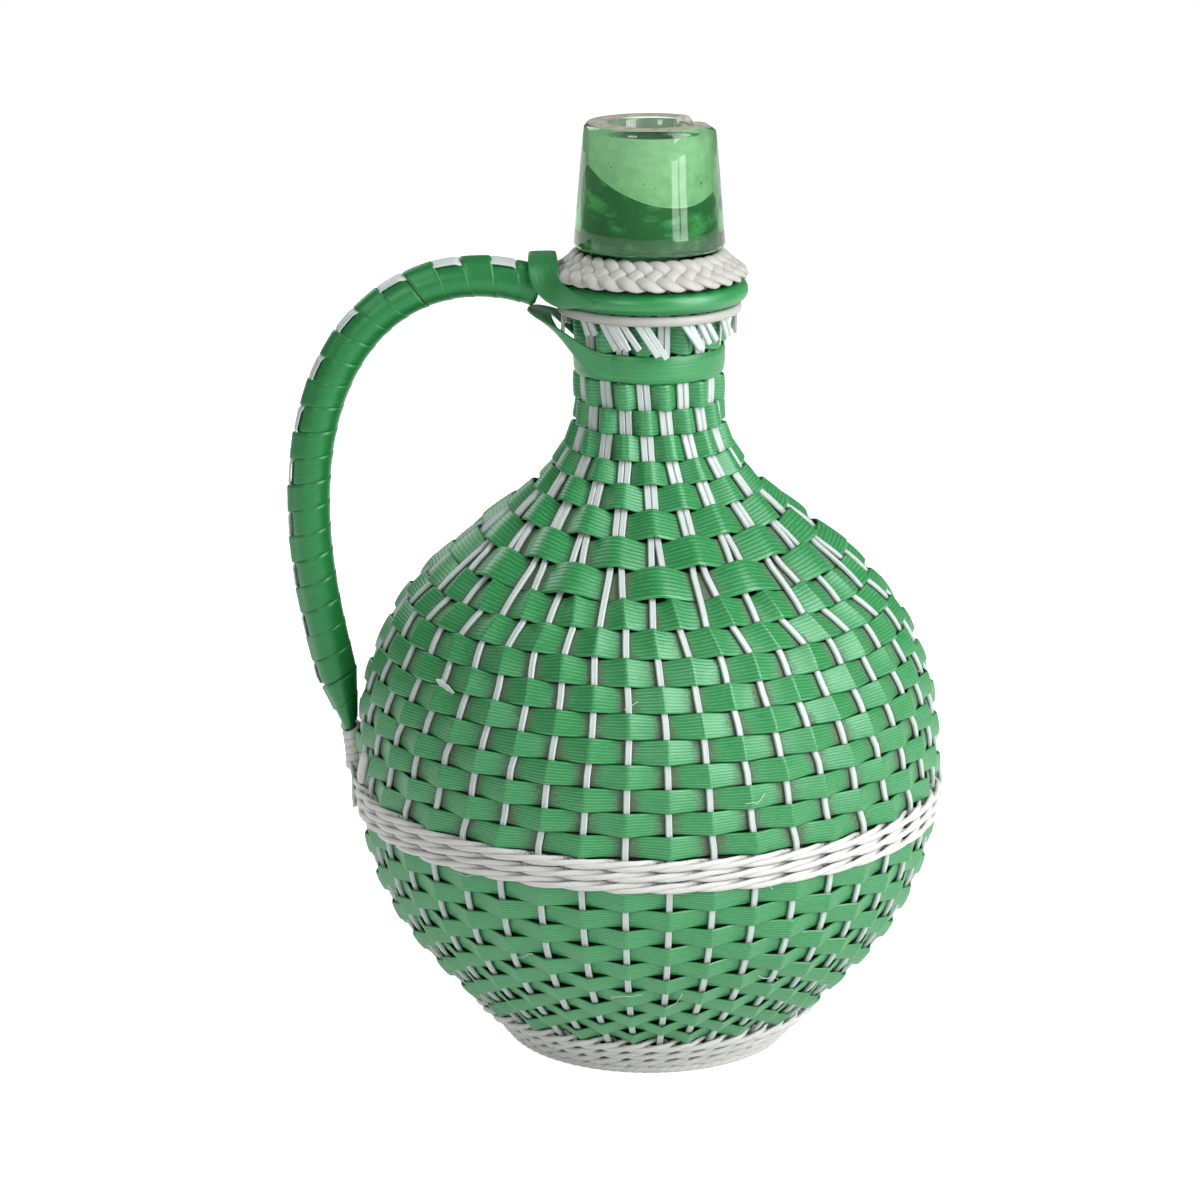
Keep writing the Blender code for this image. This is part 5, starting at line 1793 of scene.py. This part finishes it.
def make_strip(scene, path):
    """The white strip along the handle's outer side, over every second turn."""
    handle = scene.demijohn_handle
    end = path.length - HANDLE_TONGUE_LENGTH - 2 * handle.wrap_pitch
    run = np.linspace(handle.wrap_pitch / 2, end, 300)
    turn = (run - handle.wrap_pitch * WRAP_HALF - WRAP_START) / handle.wrap_pitch
    over = 0.5 - 0.5 * np.cos(pi * turn)
    over = np.clip((over - 0.5) * 2.2 + 0.5, 0.0, 1.0)
    half = handle.strip_width / 2
    section = np.array(STRIP_SECTION)
    thick, _ = path.core(run)
    low = thick + CORE_CLEARANCE + over * STRIP_LIFT
    away = low[:, None] + section[:, 1] * STRIP_THICKNESS
    beside = section[:, 0] * half
    turned = strip_turn(path, run)[:, None]
    out = away * np.cos(turned) - beside * np.sin(turned)
    aside = away * np.sin(turned) + beside * np.cos(turned)
    grid = path.point(run[:, None], out, aside)
    piece = skin("handle_slip", grid, along=run, dust=0.10)
    finish_piece(piece, strand_look(scene), "white_strand", "handle_strip")


def slip_section(waves):
    """A ribbed slip's outer places, the grooves there, and the places all round it."""
    share = np.linspace(-1.0, 1.0, 21)
    groove = SLIP_GROOVE * (np.abs(np.sin(pi * waves * (share + 1.0))) ** 0.5 - 1.0)
    return share, groove, np.concatenate([share, [0.96, 0.0, -0.96]])


def make_tie(scene):
    """The ribbon slung under the handle's end, from one side of the neck band to the other."""
    stations = np.array(TIE_STATIONS)
    both = np.vstack([stations[:0:-1] * (-1.0, 1.0, 1.0, 1.0), stations])
    turn = np.linspace(both[0, 0], both[-1, 0], 80)
    radius, height, rise = (softened(np.interp(turn, both[:, 0], both[:, axis]), 1.6) for axis in (1, 2, 3))
    rise = np.radians(rise)[:, None]
    azimuth = LEFT + np.radians(turn)
    share, groove, across = slip_section(4.5)
    across = across * TIE_WIDTH / 2
    thick = 0.5 * (0.7 + 0.3 * (1 - share**4)) * TIE_THICKNESS + groove
    thick = np.concatenate([thick, [SLIP_INNER] * 3])
    out = radius[:, None] + across * np.cos(rise) + thick * np.sin(rise)
    up = height[:, None] + across * np.sin(rise) - thick * np.cos(rise)
    grid = turned_point(azimuth[:, None], out, up)
    piece = skin("handle_sling", grid, along=azimuth * 0.035, dust=0.15)
    finish_piece(piece, plain_ribbon_look(scene), "green_ribbon", "handle_tie")


def make_blade(scene):
    """The green ring's ribbon where it starts, broad, over the handle's root."""
    stations = np.array(BLADE_STATIONS)
    runs = runs_of(stations[:, :3])
    dense = np.linspace(0.0, runs[-1], 60)
    columns = [softened(np.interp(dense, runs, column), 2.5) for column in stations.T]
    values = np.stack(columns, axis=-1)
    centre, aside, width = values[:, :3], unit(values[:, 3:6]), values[:, 6]
    ahead = unit(np.gradient(centre, axis=0))
    out = unit(np.cross(ahead, aside))
    out = out * np.sign((out * (centre - np.array(BLADE_INSIDE))).sum(axis=1))[:, None]
    share, groove, across = slip_section(4.0)
    thick = np.concatenate([0.0006 - 0.0003 * share**4 + groove, [SLIP_INNER] * 3])
    beside = aside[:, None] * (across / 2 * width[:, None])[..., None]
    grid = centre[:, None] + beside + out[:, None] * thick[:, None]
    piece = skin("green_ring_end", grid, along=dense, dust=0.25)
    finish_piece(piece, plain_ribbon_look(scene), "green_ribbon", "neck_ring_green")


def make_lashing(scene, outline, stakes, path):
    """The white strands that hold the handle's foot to the belly band."""
    look = band_look(scene)
    near = stakes.outer + GAP
    band_out = float(outline.place(outline.run_at(outline.band_top), near + 0.0024)[0])
    line = []
    for share in (0.75, 0.5, 0.2):
        run = path.length - HANDLE_TONGUE_LENGTH * share
        edge = path.point(run, path.core(run)[0] + 0.0003, 0.0)
        line.append((-edge[0], edge[2]))
    line.append((band_out, outline.band_top - 0.001))
    line.append((band_out, outline.band_bottom + 0.001))
    line = np.array(line)
    runs = runs_of(line)
    steps = np.linspace(0.0, runs[-1], 30)
    radius = np.interp(steps, runs, line[:, 0])
    height = np.interp(steps, runs, line[:, 1])
    for index, aside in enumerate(LASHING_PLACES):
        beside = aside * np.interp(steps, runs, LASHING_FAN)
        points = np.stack([-np.sqrt(radius**2 - beside**2), beside, height], axis=-1)
        outward = np.tile(np.array([-1.0, 0.0, 0.0]), (30, 1))
        grid = sweep(points, outward, oval(0.0014, 0.0007, points=12, power=0.8))
        piece = skin(f"foot_lashing_{index + 1}", grid, along=steps, dust=0.12)
        finish_piece(piece, look, "white_strand", "handle_lashing")
    turn = np.linspace(0.0, 2 * pi * LASHING_TURNS, 40 * LASHING_TURNS)
    run = path.length - COIL_START + COIL_LENGTH * turn / turn[-1]
    thick, wide = path.core(run)
    outward = unit(path.point(run, np.cos(turn), np.sin(turn)) - path.point(run, 0.0, 0.0))
    coil = path.point(run, (thick + COIL_PROUD) * np.cos(turn), (wide + COIL_PROUD) * np.sin(turn))
    grid = sweep(coil, outward, oval(0.00165, 0.0011, points=12, power=0.9))
    piece = skin("foot_lashing_coil", grid, along=turn * 0.005, dust=0.15)
    finish_piece(piece, look, "white_strand", "handle_lashing")
    share = np.linspace(0.0, 1.0, 16)
    azimuth = np.radians(STUB_TURN[0] + STUB_TURN[1] * share)
    runs = outline.run_at(STUB_HEIGHT[0] + STUB_HEIGHT[1] * share)
    rounded = np.sqrt(np.clip(1.0 - (2 * share - 1) ** 6, 0.02, 1.0))
    grid = sweep(
        outline.wrapped(azimuth, runs, stakes.outer + STUB_PROUD),
        outline.outward(azimuth, runs),
        oval(0.0026, 0.0017, points=14, power=0.9)[None] * rounded[:, None, None],
    )
    piece = skin("foot_lashing_end", grid, along=share * 0.012, dust=0.15)
    finish_piece(piece, look, "white_strand", "handle_lashing")


# Stage


def area_light(name, place, target, size, power):
    """A soft square lamp that faces a point."""
    data = bpy.data.lights.new(name, "AREA")
    data.shape = "SQUARE"
    data.size = size
    data.energy = power
    lamp = bpy.data.objects.new(name, data)
    bpy.context.scene.collection.objects.link(lamp)
    away = np.array(place) - np.array(target)
    lamp.location = place
    lamp.rotation_mode = "XYZ"
    pitch = np.arctan2(np.hypot(away[0], away[1]), away[2])
    lamp.rotation_euler = (pitch, 0.0, np.arctan2(away[0], -away[1]))
    return lamp


def plate(name, corners):
    """A flat sheet for the stage."""
    mesh = bpy.data.meshes.new(name)
    mesh.from_pydata(corners, [], [(0, 1, 2, 3)])
    made = bpy.data.objects.new(name, mesh)
    bpy.context.scene.collection.objects.link(made)
    return made


def stage_look(name, diffuse, glow):
    """A pale surface that shows white to the camera and to gloss and glass."""
    look = bpy.data.materials.new(name)
    look.use_nodes = True
    tree = look.node_tree
    tree.nodes.clear()
    light = tree.nodes.new("ShaderNodeLightPath")
    seen = maths(tree, "MAXIMUM", light.outputs["Is Camera Ray"], light.outputs["Is Glossy Ray"])
    seen = maths(tree, "MAXIMUM", seen, light.outputs["Is Transmission Ray"])
    matte = tree.nodes.new("ShaderNodeBsdfDiffuse")
    matte.inputs["Color"].default_value = (diffuse, diffuse, diffuse, 1.0)
    shine = tree.nodes.new("ShaderNodeEmission")
    wire(tree, maths(tree, "MULTIPLY", seen, glow), shine.inputs["Strength"])
    both = tree.nodes.new("ShaderNodeAddShader")
    tree.links.new(matte.outputs[0], both.inputs[0])
    tree.links.new(shine.outputs[0], both.inputs[1])
    out = tree.nodes.new("ShaderNodeOutputMaterial")
    tree.links.new(both.outputs[0], out.inputs["Surface"])
    return look


class DEMIJOHN_OT_stage(Operator):
    """Set up the camera, the lamps, the pale floor and the backdrop"""

    bl_idname = "demijohn.stage"
    bl_label = "Stage"

    def execute(self, context):
        scene = context.scene
        scene.view_settings.view_transform = "Standard"
        world = bpy.data.worlds.new("studio")
        scene.world = world
        world.use_nodes = True
        tree = world.node_tree
        back = tree.nodes["Background"]
        back.inputs["Color"].default_value = (1.0, 1.0, 1.0, 1.0)
        light = tree.nodes.new("ShaderNodeLightPath")
        seen = maths(tree, "MAXIMUM", light.outputs["Is Camera Ray"], light.outputs["Is Transmission Ray"])
        shown = maths(tree, "MULTIPLY", seen, 1.0 - WORLD_STRENGTH)
        wire(tree, maths(tree, "ADD", shown, WORLD_STRENGTH), back.inputs["Strength"])
        corners = ((-1, -1), (1, -1), (1, 1), (-1, 1))
        floor = plate("floor", [(x * FLOOR_HALF, y * FLOOR_HALF, 0) for x, y in corners])
        floor.data.materials.append(stage_look("floor_white", FLOOR_WHITE, FLOOR_GLOW))
        for lamp in LAMPS:
            area_light(*lamp)
        camera = bpy.data.objects.new("camera", bpy.data.cameras.new("camera"))
        scene.collection.objects.link(camera)
        camera.data.sensor_width = CAMERA_SENSOR
        camera.data.lens = CAMERA_LENS
        camera.data.clip_start, camera.data.clip_end = CAMERA_CLIP
        camera.location = CAMERA_PLACE
        camera.rotation_mode = "XYZ"
        camera.rotation_euler = (radians(90) - CAMERA_PITCH, 0.0, CAMERA_PAN)
        scene.camera = camera
        return {"FINISHED"}


GROUPS = {
    "demijohn_bottle": DEMIJOHN_PG_bottle,
    "demijohn_jacket": DEMIJOHN_PG_jacket,
    "demijohn_rings": DEMIJOHN_PG_rings,
    "demijohn_handle": DEMIJOHN_PG_handle,
    "demijohn_colours": DEMIJOHN_PG_colours,
}
OPERATORS = (
    DEMIJOHN_OT_bottle,
    DEMIJOHN_OT_disc,
    DEMIJOHN_OT_stakes,
    DEMIJOHN_OT_weave,
    DEMIJOHN_OT_bands,
    DEMIJOHN_OT_rings,
    DEMIJOHN_OT_plait,
    DEMIJOHN_OT_handle,
    DEMIJOHN_OT_stage,
)


class DEMIJOHN_PT_panel(Panel):
    """Lists the demijohn's sizes, colours and pieces"""

    bl_idname = "DEMIJOHN_PT_panel"
    bl_label = "Woven demijohn"
    bl_space_type = "VIEW_3D"
    bl_region_type = "UI"
    bl_category = "Demijohn"

    def draw(self, context):
        for operator in OPERATORS:
            self.layout.operator(operator.bl_idname)
        for name, group in GROUPS.items():
            box = self.layout.box()
            box.label(text=group.__doc__)
            for field in group.__annotations__:
                box.prop(getattr(context.scene, name), field)


def register():
    for group in GROUPS.values():
        bpy.utils.register_class(group)
    for operator in OPERATORS:
        bpy.utils.register_class(operator)
    bpy.utils.register_class(DEMIJOHN_PT_panel)
    for name, group in GROUPS.items():
        setattr(bpy.types.Scene, name, PointerProperty(type=group))


def unregister():
    for name in GROUPS:
        delattr(bpy.types.Scene, name)
    bpy.utils.unregister_class(DEMIJOHN_PT_panel)
    for operator in reversed(OPERATORS):
        bpy.utils.unregister_class(operator)
    for group in reversed(list(GROUPS.values())):
        bpy.utils.unregister_class(group)


def main():
    register()
    for operator in OPERATORS:
        group, name = operator.bl_idname.split(".")
        getattr(getattr(bpy.ops, group), name)()


if __name__ == "__main__":
    main()
